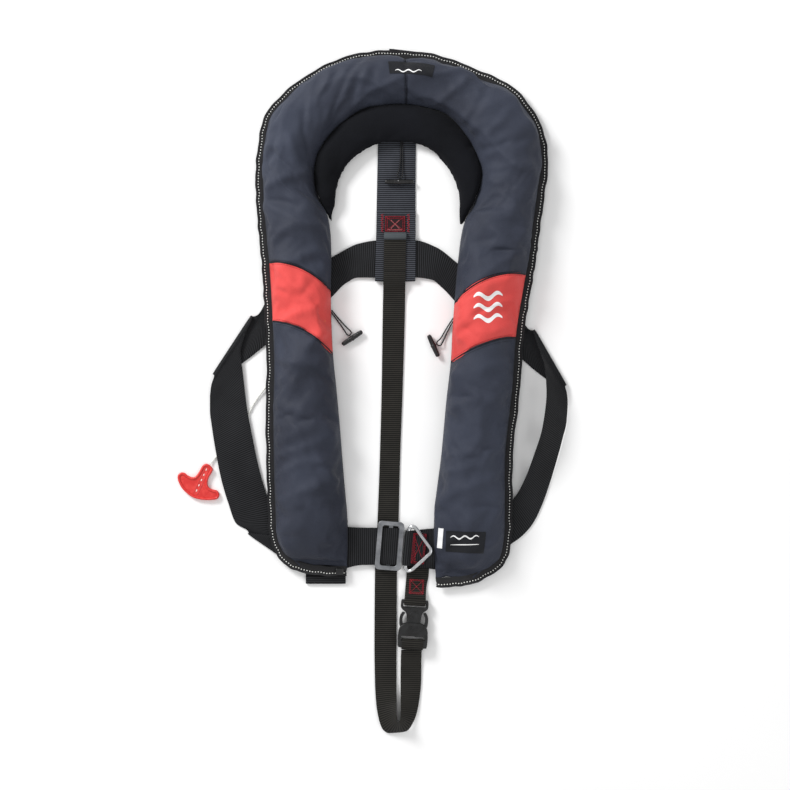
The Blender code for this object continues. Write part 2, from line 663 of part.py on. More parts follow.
def as_cutter(tool):
    """Moves a boolean's tool to the cutters' collection, out of the render."""
    JACKET.objects.unlink(tool)
    CUTTERS.objects.link(tool)
    tool.hide_render = True
    tool.display_type = "WIRE"
    return tool


def hollow(ob, tool):
    """Takes the tool's solid out of the object."""
    add_modifier(ob, "BOOLEAN", operation="DIFFERENCE", object=as_cutter(tool), solver="EXACT")


def cut(ob, low, high, turn=0.0, centre=(0, 0, 0)):
    """Cuts a box, turned about Z at the centre, out of the object."""
    tool = box_solid(ob.name + "_cutter", low, high, "grey", bevel=0)
    spin(tool, centre, turn)
    hollow(ob, tool)


def turned_place(place, centre, turn):
    """A place turned about Z round a centre by an angle in degrees."""
    a = math.radians(turn)
    x, y = place[0] - centre[0], place[1] - centre[1]
    return Vector((centre[0] + x * math.cos(a) - y * math.sin(a),
                   centre[1] + x * math.sin(a) + y * math.cos(a), place[2]))


def plate(name, outlines, low, high, colour, parent=None, centre=(0, 0), turn=0.0):
    """A flat plate from closed outlines, the later ones being holes, turned about its centre."""
    data = bpy.data.curves.new(name, "CURVE")
    data.dimensions = "2D"
    data.fill_mode = "BOTH"
    data.extrude = (high - low) / 2 * MM
    for outline in outlines:
        spot = data.splines.new("POLY")
        spot.points.add(len(outline) - 1)
        for point, (x, y) in zip(spot.points, outline):
            place = turned_place((x + centre[0], y + centre[1], 0), (*centre, 0), turn)
            point.co = (place.x * MM, place.y * MM, 0, 1)
        spot.use_cyclic_u = True
    ob = bpy.data.objects.new(name, data)
    ob.location.z = (low + high) / 2 * MM
    bpy.context.scene.collection.objects.link(ob)
    return to_mesh(ob, name, colour, parent)


def to_mesh(ob, name, colour, parent=None):
    """The curve object as a welded mesh object in its place."""
    bpy.context.view_layer.update()
    mesh = bpy.data.meshes.new_from_object(ob.evaluated_get(bpy.context.evaluated_depsgraph_get()))
    work = bmesh.new()
    work.from_mesh(mesh)
    bmesh.ops.remove_doubles(work, verts=work.verts, dist=0.000005)
    bmesh.ops.recalc_face_normals(work, faces=work.faces)
    work.to_mesh(mesh)
    work.free()
    solid = bpy.data.objects.new(name, mesh)
    solid.matrix_world = ob.matrix_world
    bpy.data.objects.remove(ob)
    bpy.context.scene.collection.objects.link(solid)
    return finish_object(solid, name, colour, parent)


def rounded(half_x, half_y, radius, steps=4):
    """A rectangle's outline with round corners, anticlockwise."""
    points = []
    for corner, (sx, sy) in enumerate(((1, 1), (-1, 1), (-1, -1), (1, -1))):
        for k in range(steps + 1):
            a = math.radians(90 * corner + 90 * k / steps)
            points.append((sx * (half_x - radius) + radius * math.cos(a),
                           sy * (half_y - radius) + radius * math.sin(a)))
    return points


def join(ob, other):
    """Unites the other solid with the object."""
    add_modifier(ob, "BOOLEAN", operation="UNION", object=as_cutter(other), solver="EXACT")


# ---------------------------------------------------------------- metal and moulded hardware


def make_d_ring():
    """Delta ring of round wire, leaning on the belt's sewn end and hinged on its straight bar."""
    hinge = pivot("d_ring_pivot", (RING_X, RING_Y, RING_Z))
    lean = math.radians(RING_LEAN)
    route = []
    for a, b in zip(RING_LINE, RING_LINE[1:]):
        count = max(1, round(math.dist(a, b) / RING_STEP))
        for k in range(count):
            x = a[0] + (b[0] - a[0]) * k / count
            y = a[1] + (b[1] - a[1]) * k / count
            spot = (RING_X + x * math.cos(lean), RING_Y + y, RING_Z + x * math.sin(lean))
            route.append(turned_place(spot, (RING_X, RING_Y), RING_TURN))
    route.append(route[0])
    tube("d_ring", [tuple(p) for p in route], RING_WIRE, "steel", 60, hinge, closed=True)


def make_slide_buckle():
    """Rectangular slide buckle: frame over the webbing, centre bar under it."""
    frame = plate("belt_slide_buckle", [rounded(*SLIDE_FRAME), rounded(*SLIDE_WINDOW)], 5.7, 7.9, "steel",
                  centre=SLIDE_CENTRE, turn=SLIDE_TURN)
    x, y = SLIDE_CENTRE
    half, reach = SLIDE_BAR
    out, thin = SLIDE_POST
    for side in (-1, 1):
        low = (x - half, y + side * out - thin, 2.3)
        post = box_solid("slide_post", low, (x + half, y + side * out + thin, 7.0), "steel", bevel=0)
        spin(post, SLIDE_CENTRE, SLIDE_TURN)
        join(frame, post)
    bar = box_solid("slide_bar", (x - half, y - reach, 2.0), (x + half, y + reach, 3.5), "steel", bevel=0.5)
    spin(bar, SLIDE_CENTRE, SLIDE_TURN)
    join(frame, bar)


def spin(ob, centre, turn):
    """Turns a mesh about Z round a centre given in millimetres."""
    mid = (centre[0] * MM, centre[1] * MM, 0)
    for v in ob.data.vertices:
        v.co = turned_place(v.co, mid, turn)


def clip_place(spot):
    """A place of the side-release buckle's own frame, before its turn."""
    return (spot[0] + CLIP_CENTRE[0], spot[1] + CLIP_CENTRE[1], spot[2])


def make_side_release():
    """Side-release buckle: upper half with two prongs, and the lower half they click into."""
    male = plate("side_release_male", [MALE_LINE, MALE_SLOT], 2.6, 8.2, "black", centre=CLIP_CENTRE,
                 turn=CLIP_TURN)
    add_modifier(male, "BEVEL", width=0.5 * MM, segments=1, limit_method="ANGLE")
    for side, word in ((-1, "left"), (1, "right")):
        x, y, z = PRONG_ROOT
        root = turned_place(clip_place((side * x, y, z)), CLIP_CENTRE, CLIP_TURN)
        hinge = pivot("prong_%s_pivot" % word, root)
        outline = [(side * x, y) for x, y in PRONG_LINE]
        plate("prong_%s" % word, [outline], 3.2, 7.6, "black", hinge, CLIP_CENTRE, CLIP_TURN)
    low, high = FEMALE_BOX
    female = box_solid("side_release_female", clip_place(low), clip_place(high), "black", bevel=1.6)
    spin(female, CLIP_CENTRE, CLIP_TURN)
    for low, high in FEMALE_CUTS:
        cut(female, clip_place(low), clip_place(high), CLIP_TURN, CLIP_CENTRE)


def cord_loop(route):
    """A doubled cord: out along one side of the route, round the toggle's side and back."""
    count, near, far = 10, [], []
    for k in range(count + 1):
        t = (len(route) - 1) * k / count
        here = Vector(spline(route, t))
        step = Vector(spline(route, min(t + 0.05, len(route) - 1))) - Vector(spline(route, max(t - 0.05, 0)))
        side = Vector((-step.y, step.x, 0)).normalized()
        half = CORD_GAP[0] + (CORD_GAP[1] - CORD_GAP[0]) * (k / count) ** 2
        near.append(here + side * half)
        far.append(here - side * half)
    ahead = Vector((step.x, step.y, 0)).normalized()
    turn = [here + side * CORD_GAP[1] * math.cos(a) + ahead * CORD_GAP[1] * math.sin(a)
            for a in (math.pi / 4, math.pi / 2, 3 * math.pi / 4)]
    return [tuple(p) for p in near + turn + far[::-1]]


def make_toggles():
    """Three barrel toggles on thin cord loops."""
    for name, start, end, high in TOGGLES:
        a, b = Vector((*start, high)), Vector((*end, high))
        length = (b - a).length
        profile = [(0, 1.2), (0.8, 2.2), (length * 0.3, 2.8), (length * 0.46, 3.1), (length * 0.5, 3.6),
                   (length * 0.54, 3.1), (length * 0.7, 2.8), (length - 0.8, 2.2), (length, 1.2)]
        turned(name, profile, a, b - a, "black", sides=14)
    for name, route in TOGGLE_CORDS:
        tube(name, cord_loop(route), CORD_R, "black", 44)


def make_handle():
    """Pull handle: a moulded crescent on a stem, on its lanyard from the inflator's lever."""
    hinge = pivot("handle_slide", (-188, -88, 3))
    stem = Vector(STEM_TOP)
    along = (Vector(STEM_LOW) - stem).normalized()
    side = Vector((-along.y, along.x))
    outline = [tuple(stem + along * a + side * b) for a, b in HANDLE_LINE]
    ob = plate("pull_handle", [outline], *HANDLE_THICK, "red", hinge)
    add_modifier(ob, "BEVEL", width=0.9 * MM, segments=2, limit_method="ANGLE", angle_limit=math.radians(50))
    tube("pull_lanyard", LANYARD, LANYARD_R, "white", 44, hinge)


def make_zip_slider():
    """The burst zip's slider, resting at the left lobe's inner corner."""
    box_solid("zip_slider", *SLIDER_BOX, "black", bevel=1.0)


# ---------------------------------------------------------------- inner works


def make_inflator():
    """Inflator body with its lug and bore, in the left lobe's bay."""
    body = box_solid("inflator_body", (CYL_X - 12.5, -4, 7.4), (CYL_X + 13, 37.5, 32.5), "grey", bevel=2.5)
    lug = box_solid("inflator_lug", (CYL_X - 9, 30, 7.4), (CYL_X + 3, 49, 9.2), "grey", bevel=0)
    join(body, lug)
    bore = turned("inflator_bore", [(-10, 7.2), (60, 7.2)], (CYL_X, 0, CYL_Z), (0, 1, 0), "grey")
    hollow(body, bore)


def make_gas_parts():
    """Gas cylinder, firing pin and its return spring on the bore's axis."""
    up = (0, 1, 0)
    turned("gas_cylinder", CYLINDER_PROFILE, (CYL_X, CYLINDER_Y, CYL_Z), up, "steel", sides=28)
    turned("firing_pin", PIN_PROFILE, (CYL_X, PIN_Y, CYL_Z), up, "brass", sides=14)
    coil, steps = [], 12 * COIL_TURNS
    for k in range(steps + 1):
        a = 2 * math.pi * COIL_TURNS * k / steps
        y = COIL_Y[0] + (COIL_Y[1] - COIL_Y[0]) * k / steps
        coil.append((CYL_X + COIL_R * math.cos(a), y, CYL_Z + COIL_R * math.sin(a)))
    tube("firing_spring", coil, COIL_WIRE, "steel", 50)


def make_auto_head():
    """Water-sensing cartridge and the screw cap over it."""
    up = (0, 1, 0)
    turned("auto_cartridge", CARTRIDGE_PROFILE, (CYL_X, 39, CYL_Z), up, "green", sides=18)
    cap = turned("auto_cap", AUTO_CAP_PROFILE, (CYL_X, AUTO_CAP_Y, CYL_Z + 1.2), up, "yellow")
    middle = (CYL_X, AUTO_CAP_Y, CYL_Z)
    room = turned("auto_cap_hollow", [(-3, 8.2), (13.5, 8.2)], middle, up, "grey", sides=20)
    hollow(cap, room)


def make_lever():
    """Firing lever on its pin above the inflator's lug."""
    hinge = pivot("lever_pivot", (LEVER_X, LEVER_Y, 11))
    lever = plate("inflator_lever", [LEVER_LINE, LEVER_HOLE], 9.5, 11.6, "yellow", hinge, (LEVER_X, LEVER_Y))
    lever.data.shade_flat()
    turned("lever_pin", [(0, 1.5), (2.2, 1.5), (2.3, 2.6), (2.7, 2.6)], (LEVER_X, LEVER_Y, 9.5), (0, 0, 1),
           "steel", sides=12)


def make_oral_parts():
    """Oral tube with its valve and cap, whistle and lifting loop in the right lobe's bay."""
    x, z, down = ORAL_X, ORAL_Z, (0, -1, 0)
    turned("oral_tube", ORAL_TUBE, (x, 50, z), down, "black", sides=18)
    turned("oral_valve", ORAL_VALVE, (x, -9.5, z), down, "grey", sides=18)
    cap = turned("oral_cap", ORAL_CAP, (x, ORAL_CAP_Y, z), down, "yellow", sides=18)
    room = turned("oral_cap_hollow", [(-2, 6.0), (7.4, 6.0)], (x, ORAL_CAP_Y, z), down, "grey", sides=18)
    hollow(cap, room)
    whistle = box_solid("whistle", (117, -18, 9), (128, 26, 17), "yellow", bevel=2)
    cut(whistle, (119, -22, 11), (126, 8, 15))
    tube("whistle_cord", WHISTLE_CORD, LANYARD_R, "white", 20)
    rows = [flat(121, 54, 134, 56, 10), flat(121, 68, 134, 68, 12)]
    ribbon("lifting_loop", rows, thick=TAB_WEB, steps=2)


def make_neck_pad():
    """The soft pad round the neck, flat below and crowned above."""
    rings = []
    rows = rows_between(0, len(PAD_INNER) - 1)
    for s in rows:
        inner = Vector(spline(PAD_INNER, s))
        outer = Vector(spline(STATIONS, s + PAD_FIRST)[:2])
        across = outer - inner
        outer = outer - across.normalized() * 0.9
        wide = (outer - inner).length
        crown = min(PAD_CROWN, PANEL_Z + 3 + wide * 0.6)
        ring = []
        for u in across_steps(6):
            place = inner.lerp(outer, u)
            ring.append((place.x, place.y, pillow(u, crown, PANEL_Z + 2, PANEL_Z + 2)))
        for u in (1.0, 0.0):
            place = inner.lerp(outer, u)
            ring.append((place.x, place.y, PANEL_Z + 0.2))
        rings.append(ring)
    closed_loft("neck_pad", rings, "pad")


def make_labels():
    """Two woven labels lying on the cover, without lettering."""
    for name, first, last, near, far in LABELS:
        verts = []
        rows = [first + (last - first) * k / 4 for k in range(5)]
        for t in rows:
            for k in range(7):
                x, y, z = cover_point(t, near + (far - near) * k / 6)
                verts.append((x, y, z + LABEL_LIFT))
        ob = mesh_object(name, verts, grid_faces(5, 7), "black")
        add_modifier(ob, "SOLIDIFY", thickness=LABEL_THICK * MM, offset=1.0 if faces_up(ob) else -1.0)


clear_scene()
JACKET = make_collection("inflatable_life_jacket")
CUTTERS = make_collection("cutters")


def main():
    for name, first, last, colour in PANELS:
        make_cover_panel(name, first, last, colour)
    make_back_panel()
    for name, first, last in BLADDER:
        make_bladder(name, first, last)
    make_neck_pad()
    band_strip("zip_tape_outer", TAPE_OUTER, BAND_Z, TAPE, "black")
    band_strip("zip_teeth", TEETH, BAND_Z - 0.3, TEETH_TALL, "white")
    band_strip("zip_tape_inner", TAPE_INNER, BAND_Z, TAPE, "black")
    make_zip_slider()
    make_belt_left()
    make_belt_right()
    make_back_strap()
    make_crotch_strap()
    make_short_straps()
    make_d_ring()
    make_slide_buckle()
    make_side_release()
    make_toggles()
    make_handle()
    make_inflator()
    make_gas_parts()
    make_auto_head()
    make_lever()
    make_oral_parts()
    make_labels()
    for ob in JACKET.objects[:] + CUTTERS.objects[:]:
        if ob.parent is None:
            ob.location += Vector(PLACE) * MM


main()
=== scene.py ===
"""Visual model of the inflatable life jacket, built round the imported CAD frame.

Routes and stations are in millimetres in the jacket's own drawing, as in the CAD source.
place() turns them into the frame, in metres.
"""
import bpy
import bmesh
import json
import math
import numpy as np
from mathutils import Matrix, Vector, noise
from mathutils.bvhtree import BVHTree

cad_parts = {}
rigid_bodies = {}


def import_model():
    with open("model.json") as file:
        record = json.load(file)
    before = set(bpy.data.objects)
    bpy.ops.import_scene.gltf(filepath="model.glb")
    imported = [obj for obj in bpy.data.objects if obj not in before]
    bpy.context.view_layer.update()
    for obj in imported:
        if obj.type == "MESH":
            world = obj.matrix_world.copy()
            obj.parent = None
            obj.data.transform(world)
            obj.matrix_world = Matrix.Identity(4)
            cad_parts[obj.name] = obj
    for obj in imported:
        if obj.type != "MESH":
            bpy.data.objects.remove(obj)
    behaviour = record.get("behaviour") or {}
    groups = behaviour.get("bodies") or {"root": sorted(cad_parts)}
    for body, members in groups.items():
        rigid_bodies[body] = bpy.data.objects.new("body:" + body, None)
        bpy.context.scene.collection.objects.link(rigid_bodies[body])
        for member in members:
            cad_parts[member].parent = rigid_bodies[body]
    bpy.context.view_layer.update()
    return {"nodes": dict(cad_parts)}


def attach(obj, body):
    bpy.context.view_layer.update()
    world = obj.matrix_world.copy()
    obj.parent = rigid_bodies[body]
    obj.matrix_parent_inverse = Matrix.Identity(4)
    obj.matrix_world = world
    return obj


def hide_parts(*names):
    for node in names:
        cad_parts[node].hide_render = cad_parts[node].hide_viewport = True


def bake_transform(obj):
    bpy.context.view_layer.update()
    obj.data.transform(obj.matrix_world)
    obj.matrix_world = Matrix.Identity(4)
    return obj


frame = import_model()

MM = 0.001
SHIFT = (-1.2, -0.15, -0.2)    # from the drawing origin to the frame, in millimetres

# Camera: straight above the lying jacket
CAMERA_AT = (0.0247, -0.0050, 2.145)
LENS = 85.0
SENSOR = 36.0

# Outline of the horseshoe: inner edge x, y; outer edge x, y; crown height; bow of the row
STATIONS = [
    (-29.3, -200, -91, -205, 9.0, -2), (-28.8, -189, -108, -191, 25, 0), (-28.0, -170, -118, -166, 36, 0),
    (-29.0, -140, -120, -138, 43, 0), (-33.0, -95, -121.5, -92, 45, 0), (-37.5, -38, -122.5, -30, 45, 3),
    (-41.5, 5, -121.5, 30, 45, 6), (-45.2, 42, -123.2, 79, 44, 8), (-47.0, 78, -125, 112, 44, 8),
    (-47.7, 115, -127.2, 146, 43, 8), (-47.0, 152, -130.5, 180, 42, 6), (-50.0, 195, -133.2, 215, 40, 3),
    (-64.0, 228, -134.2, 248, 38, 0), (-65.5, 256, -131, 282, 36, 0), (-58.5, 278, -122, 318, 36, 0),
    (-42.0, 300, -88, 353, 36, 0), (-12.1, 321.5, -40, 380, 36, 0), (14, 326.5, 2, 389.5, 36, 0),
    (38.5, 327.5, 38.5, 389.5, 36, 0), (61, 324, 75, 385, 36, 0), (86, 315, 122, 367.5, 36, 0),
    (107, 292, 164, 346, 36, 0), (119, 270, 193, 306, 37, 0), (124.8, 248, 201.5, 264, 38, 0),
    (118, 220, 197, 220, 40, 0), (104, 188, 191.5, 180, 42, 4), (97.5, 142, 188.7, 157, 43, 9),
    (94, 101, 184.6, 131, 44, 11), (91.5, 66, 178.6, 97, 44, 10), (89.8, 32.6, 173.4, 60, 45, 6),
    (84.5, -14, 169.2, 0, 45, 4), (78.8, -75, 161.5, -70, 44, 0), (71.8, -130, 160.8, -128, 41, 0),
    (70.3, -165, 159.8, -168, 36, 0), (71.2, -193, 151, -199, 25, 0), (72.6, -212.5, 122, -219, 9.0, -2),
]
# Ends of the zip band beyond the outline's first and last stations
BAND_START = [(-29.3, -213), (-62, -211.8)]
BAND_END = [(98, -224.4), (73, -226)]
# Sewn panels of the front cover: CAD node, first and last station, colour
PANELS = [
    ("cover_lower_left", 0, 7, "navy"), ("cover_chest_left", 7, 9, "red"),
    ("cover_collar_left", 9, 18, "navy"),
    ("cover_collar_right", 18, 27, "navy"), ("cover_chest_right", 27, 29, "red"),
    ("cover_lower_right", 29, 35, "navy"),
]
BAND = 12.0            # width of the zip band
BAND_Z = 6.4           # underside of its tapes
INNER_Z = 5.9          # lowest edge of the front cover
PANEL_Z = 4.2          # underside of the back panel
PAD_FIRST = 11         # station beside the pad's first point
PAD_INNER = [
    (-45.2, 193), (-40.8, 224), (-35.5, 246), (-24, 261.5), (-10, 273), (7, 281), (20, 283.5), (34, 284),
    (49, 281.5), (66, 274.5), (81, 259), (91, 243), (97.5, 224), (99, 205), (98.5, 188),
]


# ---------------------------------------------------------------- small tools

def place(x, y, z):
    """A drawing point in millimetres as a frame point in metres."""
    return Vector(((x + SHIFT[0]) * MM, (y + SHIFT[1]) * MM, (z + SHIFT[2]) * MM))


ABOVE = 200.0          # a height well above the jacket, in millimetres
SAMPLES = 40           # samples to each point of a line that is being measured
SHARP = math.radians(50)
EDGE_ANGLE = math.radians(38)


def spline(points, t):
    """Catmull-Rom value at t, counted in points, for tuples of any length."""
    last = len(points) - 1
    i = min(int(t), last - 1)
    f = t - i
    p1, p2 = points[i], points[i + 1]
    p0 = points[i - 1] if i > 0 else [2 * a - b for a, b in zip(p1, p2)]
    p3 = points[i + 2] if i + 2 <= last else [2 * b - a for a, b in zip(p1, p2)]
    return [0.5 * (2 * b + (c - a) * f + (2 * a - 5 * b + 4 * c - d) * f * f
                   + (3 * b - a - 3 * c + d) * f ** 3) for a, b, c, d in zip(p0, p1, p2, p3)]


def even_values(line, last, step):
    """Values of t from 0 to last at even steps along the line that line(t) gives."""
    count = int(last * SAMPLES)
    ts = [last * i / count for i in range(count + 1)]
    spots = [line(t) for t in ts]
    run = [0.0]
    for a, b in zip(spots, spots[1:]):
        run.append(run[-1] + (b - a).length)
    total = max(2, round(run[-1] / step))
    return list(np.interp(np.linspace(0, run[-1], total + 1), run, ts)), run[-1]


def new_object(name, verts, faces, uvs=None, smooth=True):
    """A mesh object from frame points in metres; uvs holds one pair per vertex."""
    mesh = bpy.data.meshes.new(name)
    mesh.from_pydata([tuple(v) for v in verts], [], faces)
    if uvs is not None:
        layer = mesh.uv_layers.new(name="UVMap")
        index = np.zeros(len(mesh.loops), dtype=np.int32)
        mesh.loops.foreach_get("vertex_index", index)
        layer.data.foreach_set("uv", np.array(uvs, dtype=np.float32)[index].ravel())
    ob = bpy.data.objects.new(name, mesh)
    bpy.context.scene.collection.objects.link(ob)
    if smooth:
        mesh.shade_smooth()
    return ob


def outward(ob):
    """Faces of a closed mesh turned outward."""
    work = bmesh.new()
    work.from_mesh(ob.data)
    bmesh.ops.recalc_face_normals(work, faces=work.faces)
    work.to_mesh(ob.data)
    work.free()


def face_up(ob):
    """An open sheet's faces turned upward."""
    if sum(p.normal.z * p.area for p in ob.data.polygons) < 0:
        ob.data.flip_normals()


def apply_modifiers(ob):
    """The object's mesh with its modifiers applied."""
    graph = bpy.context.evaluated_depsgraph_get()
    graph.update()
    mesh = bpy.data.meshes.new_from_object(ob.evaluated_get(graph), preserve_all_data_layers=True,
                                           depsgraph=graph)
    ob.modifiers.clear()
    ob.data = mesh


def modify(ob, kind, **settings):
    """A new modifier with its settings."""
    mod = ob.modifiers.new(kind.title(), kind)
    for key, value in settings.items():
        setattr(mod, key, value)
    return mod


def finish_piece(ob, body, slot, material, replaces=()):
    """A piece's material, body and the CAD nodes that it stands for; its slot is not used."""
    ob.data.materials.clear()
    for one in material if isinstance(material, (list, tuple)) else [material]:
        ob.data.materials.append(one)
    if body:
        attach(ob, body)
    if replaces:
        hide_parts(*replaces)
    return ob


def grid_faces(rows, cols):
    """Faces of an open grid of points."""
    return [(r * cols + c, r * cols + c + 1, (r + 1) * cols + c + 1, (r + 1) * cols + c)
            for r in range(rows - 1) for c in range(cols - 1)]


def ring_faces(rows, size):
    """Faces of a closed tube: rows rings of size points, with both ends capped."""
    faces = [(r * size + c, r * size + (c + 1) % size, (r + 1) * size + (c + 1) % size, (r + 1) * size + c)
             for r in range(rows - 1) for c in range(size)]
    return faces + [tuple(reversed(range(size))), tuple(range((rows - 1) * size, rows * size))]


def loop_faces(rows, size):
    """Faces of a tube whose last ring joins its first."""
    return [(r * size + c, r * size + (c + 1) % size, ((r + 1) % rows) * size + (c + 1) % size,
             ((r + 1) % rows) * size + c) for r in range(rows) for c in range(size)]


def circle(spot, along, side, radius, count):
    """Points round a spot on a line; returns them and the side direction that they start from."""
    side = (side - along * side.dot(along)).normalized()
    other = along.cross(side)
    turns = [2 * math.pi * j / count for j in range(count)]
    return [spot + (side * math.cos(a) + other * math.sin(a)) * radius for a in turns], side


def smooth_step(x):
    """Rises smoothly from 0 to 1 as x does."""
    x = min(max(x, 0.0), 1.0)
    return x * x * (3 - 2 * x)


class Drop:
    """Finds the top surface of some objects."""

    def __init__(self, *obs):
        verts, faces = [], []
        for ob in obs:
            first = len(verts)
            verts += [ob.matrix_world @ v.co for v in ob.data.vertices]
            faces += [[first + i for i in p.vertices] for p in ob.data.polygons]
        self.tree = BVHTree.FromPolygons(verts, faces)

    def at(self, x, y, lift):
        """The point so many millimetres off the top surface at drawing x, y."""
        over = place(x, y, ABOVE)
        spot, normal, _, _ = self.tree.ray_cast(over, Vector((0, 0, -1)))
        if spot is None:
            return Vector((over.x, over.y, lift * MM))
        return spot + (normal if normal.z > 0 else -normal) * lift * MM


# ---------------------------------------------------------------- materials

def node(tree, kind, **values):
    """A shader node with values for its sockets or, where it has no such socket, its settings."""
    made = tree.nodes.new(kind)
    for key, value in values.items():
        if key in made.inputs:
            made.inputs[key].default_value = value
        else:
            setattr(made, key, value)
    return made


def rgb(r, g, b):
    """Linear colour from display values out of 255."""
    def one(c):
        c = c / 255
        return c / 12.92 if c <= 0.04045 else ((c + 0.055) / 1.055) ** 2.4
    return (one(r), one(g), one(b), 1.0)


def start_material(name, rough, metal=0.0, specular=0.5, sheen=0.0):
    """A new material with its uniform values on the shader's own sockets."""
    mat = bpy.data.materials.new(name)
    mat.use_nodes = True
    tree = mat.node_tree
    shader = tree.nodes["Principled BSDF"]
    values = {"Roughness": rough, "Metallic": metal, "Specular IOR Level": specular, "Sheen Weight": sheen}
    for key, value in values.items():
        shader.inputs[key].default_value = value
    return mat, tree, shader


def ramp(tree, source, low, high, first, last):
    """A two-colour ramp between two positions of the source value."""
    made = tree.nodes.new("ShaderNodeValToRGB")
    made.color_ramp.elements[0].position = first
    made.color_ramp.elements[0].color = low
    made.color_ramp.elements[1].position = last
    made.color_ramp.elements[1].color = high
    tree.links.new(source, made.inputs["Fac"])
    return made.outputs["Color"]


def math_node(tree, operation, a, b):
    """A sum or product of two values, each a number or a socket."""
    made = tree.nodes.new("ShaderNodeMath")
    made.operation = operation
    for socket, value in zip(made.inputs, (a, b)):
        if isinstance(value, (int, float)):
            socket.default_value = value
        else:
            tree.links.new(value, socket)
    return made.outputs[0]


def weighted(tree, *pairs):
    """The sum of (source, weight) pairs."""
    terms = [math_node(tree, "MULTIPLY", source, weight) for source, weight in pairs]
    total = terms.pop()
    while terms:
        total = math_node(tree, "ADD", terms.pop(), total)
    return total


def bump(tree, shader, height, strength, distance):
    made = node(tree, "ShaderNodeBump", Strength=strength, Distance=distance)
    tree.links.new(height, made.inputs["Height"])
    tree.links.new(made.outputs["Normal"], shader.inputs["Normal"])


def bands(tree, vector, axis, pitch):
    """Even bands across an axis of the vector, one for each pitch."""
    made = node(tree, "ShaderNodeTexWave", bands_direction=axis, wave_type="BANDS", wave_profile="SIN",
                Scale=2 * math.pi / 20 / pitch, Distortion=0.0)
    tree.links.new(vector, made.inputs["Vector"])
    return made.outputs["Fac"]


def uneven_gloss(tree, shader, source, rough, less, more, first, last):
    """Roughness that varies about its middle value with the source."""
    gloss = ramp(tree, source, (rough - less,) * 3 + (1,), (rough + more,) * 3 + (1,), first, last)
    tree.links.new(gloss, shader.inputs["Roughness"])


def noise_value(tree, vector, scale, detail=3.0, rough=0.55):
    made = node(tree, "ShaderNodeTexNoise", Scale=scale, Detail=detail, Roughness=rough)
    tree.links.new(vector, made.inputs["Vector"])
    return made.outputs["Fac"]


def cloth_material(name, dark, light, pitch=0.0007, rough=0.62, sheen=0.04, coords="UV", specular=0.2,
                   weave=0.35):
    """Woven cloth: over-and-under threads, slubs, soft blotches of colour and uneven gloss."""
    mat, tree, shader = start_material(name, rough, specular=specular, sheen=sheen)
    spots = tree.nodes.new("ShaderNodeTexCoord")
    flat_space, solid = spots.outputs[coords], spots.outputs["Object"]
    warp = bands(tree, flat_space, "X", pitch)
    weft = bands(tree, flat_space, "Y", pitch)
    threads = math_node(tree, "MULTIPLY", warp, weft)
    slub = noise_value(tree, solid, 1400.0, 2.0)
    height = math_node(tree, "ADD", threads, math_node(tree, "MULTIPLY", slub, 0.6))
    bump(tree, shader, height, weave, 0.00025)
    blotch = noise_value(tree, solid, 9.0, 4.0)
    tone = weighted(tree, (blotch, 0.7), (slub, 0.3))
    tree.links.new(ramp(tree, tone, dark, light, 0.35, 0.68), shader.inputs["Base Color"])
    uneven_gloss(tree, shader, blotch, rough, 0.06, 0.08, 0.3, 0.7)
    return mat


def webbing_material(name, dark, light, pitch):
    """Ribbed webbing: painted highlight on the rib crests and painted shade in the furrows, yarn ends across
    each rib.
    """
    mat, tree, shader = start_material(name, 0.6, specular=0.14, sheen=0.02)
    spots = tree.nodes.new("ShaderNodeTexCoord")
    uv, solid = spots.outputs["UV"], spots.outputs["Object"]
    rib = bands(tree, uv, "X", pitch)
    yarn = bands(tree, uv, "Y", 0.0011)
    grain = noise_value(tree, solid, 1100.0, 2.0)
    bump(tree, shader, weighted(tree, (yarn, 0.5), (grain, 0.6)), 0.4, 0.0002)
    blotch = noise_value(tree, solid, 30.0, 3.0)
    # Colour: the rib bands paint a highlight on each crest and shade in each furrow; grain and blotches vary
    # the tone.
    tone = weighted(tree, (rib, 0.62), (grain, 0.22), (blotch, 0.3))
    tree.links.new(ramp(tree, tone, dark, light, 0.3, 0.95), shader.inputs["Base Color"])
    return mat


def plastic_material(name, dark, light, rough=0.42):
    """Moulded plastic with a fine spark-eroded grain, scuffed in places."""
    mat, tree, shader = start_material(name, rough)
    solid = tree.nodes.new("ShaderNodeTexCoord").outputs["Object"]
    fine = noise_value(tree, solid, 2600.0, 2.0)
    bump(tree, shader, fine, 0.12, 0.0001)
    scuff = noise_value(tree, solid, 160.0, 5.0, 0.7)
    tree.links.new(ramp(tree, scuff, dark, light, 0.42, 0.72), shader.inputs["Base Color"])
    uneven_gloss(tree, shader, scuff, rough, 0.1, 0.14, 0.35, 0.7)
    return mat


def metal_material(name, dark, light, rough=0.18, brushed=0.0):
    """Metal with hairline scratches and slightly uneven polish."""
    mat, tree, shader = start_material(name, rough, metal=1.0)
    solid = tree.nodes.new("ShaderNodeTexCoord").outputs["Object"]
    stretch = node(tree, "ShaderNodeMapping", Scale=(1.0, 9.0, 1.0))
    tree.links.new(solid, stretch.inputs["Vector"])
    lines = noise_value(tree, stretch.outputs["Vector"], 420.0, 4.0)
    bump(tree, shader, lines, 0.06 + brushed, 0.0001)
    cloud = noise_value(tree, solid, 90.0, 4.0)
    tree.links.new(ramp(tree, cloud, dark, light, 0.35, 0.7), shader.inputs["Base Color"])
    uneven_gloss(tree, shader, lines, rough, 0.05, 0.12, 0.3, 0.75)
    return mat


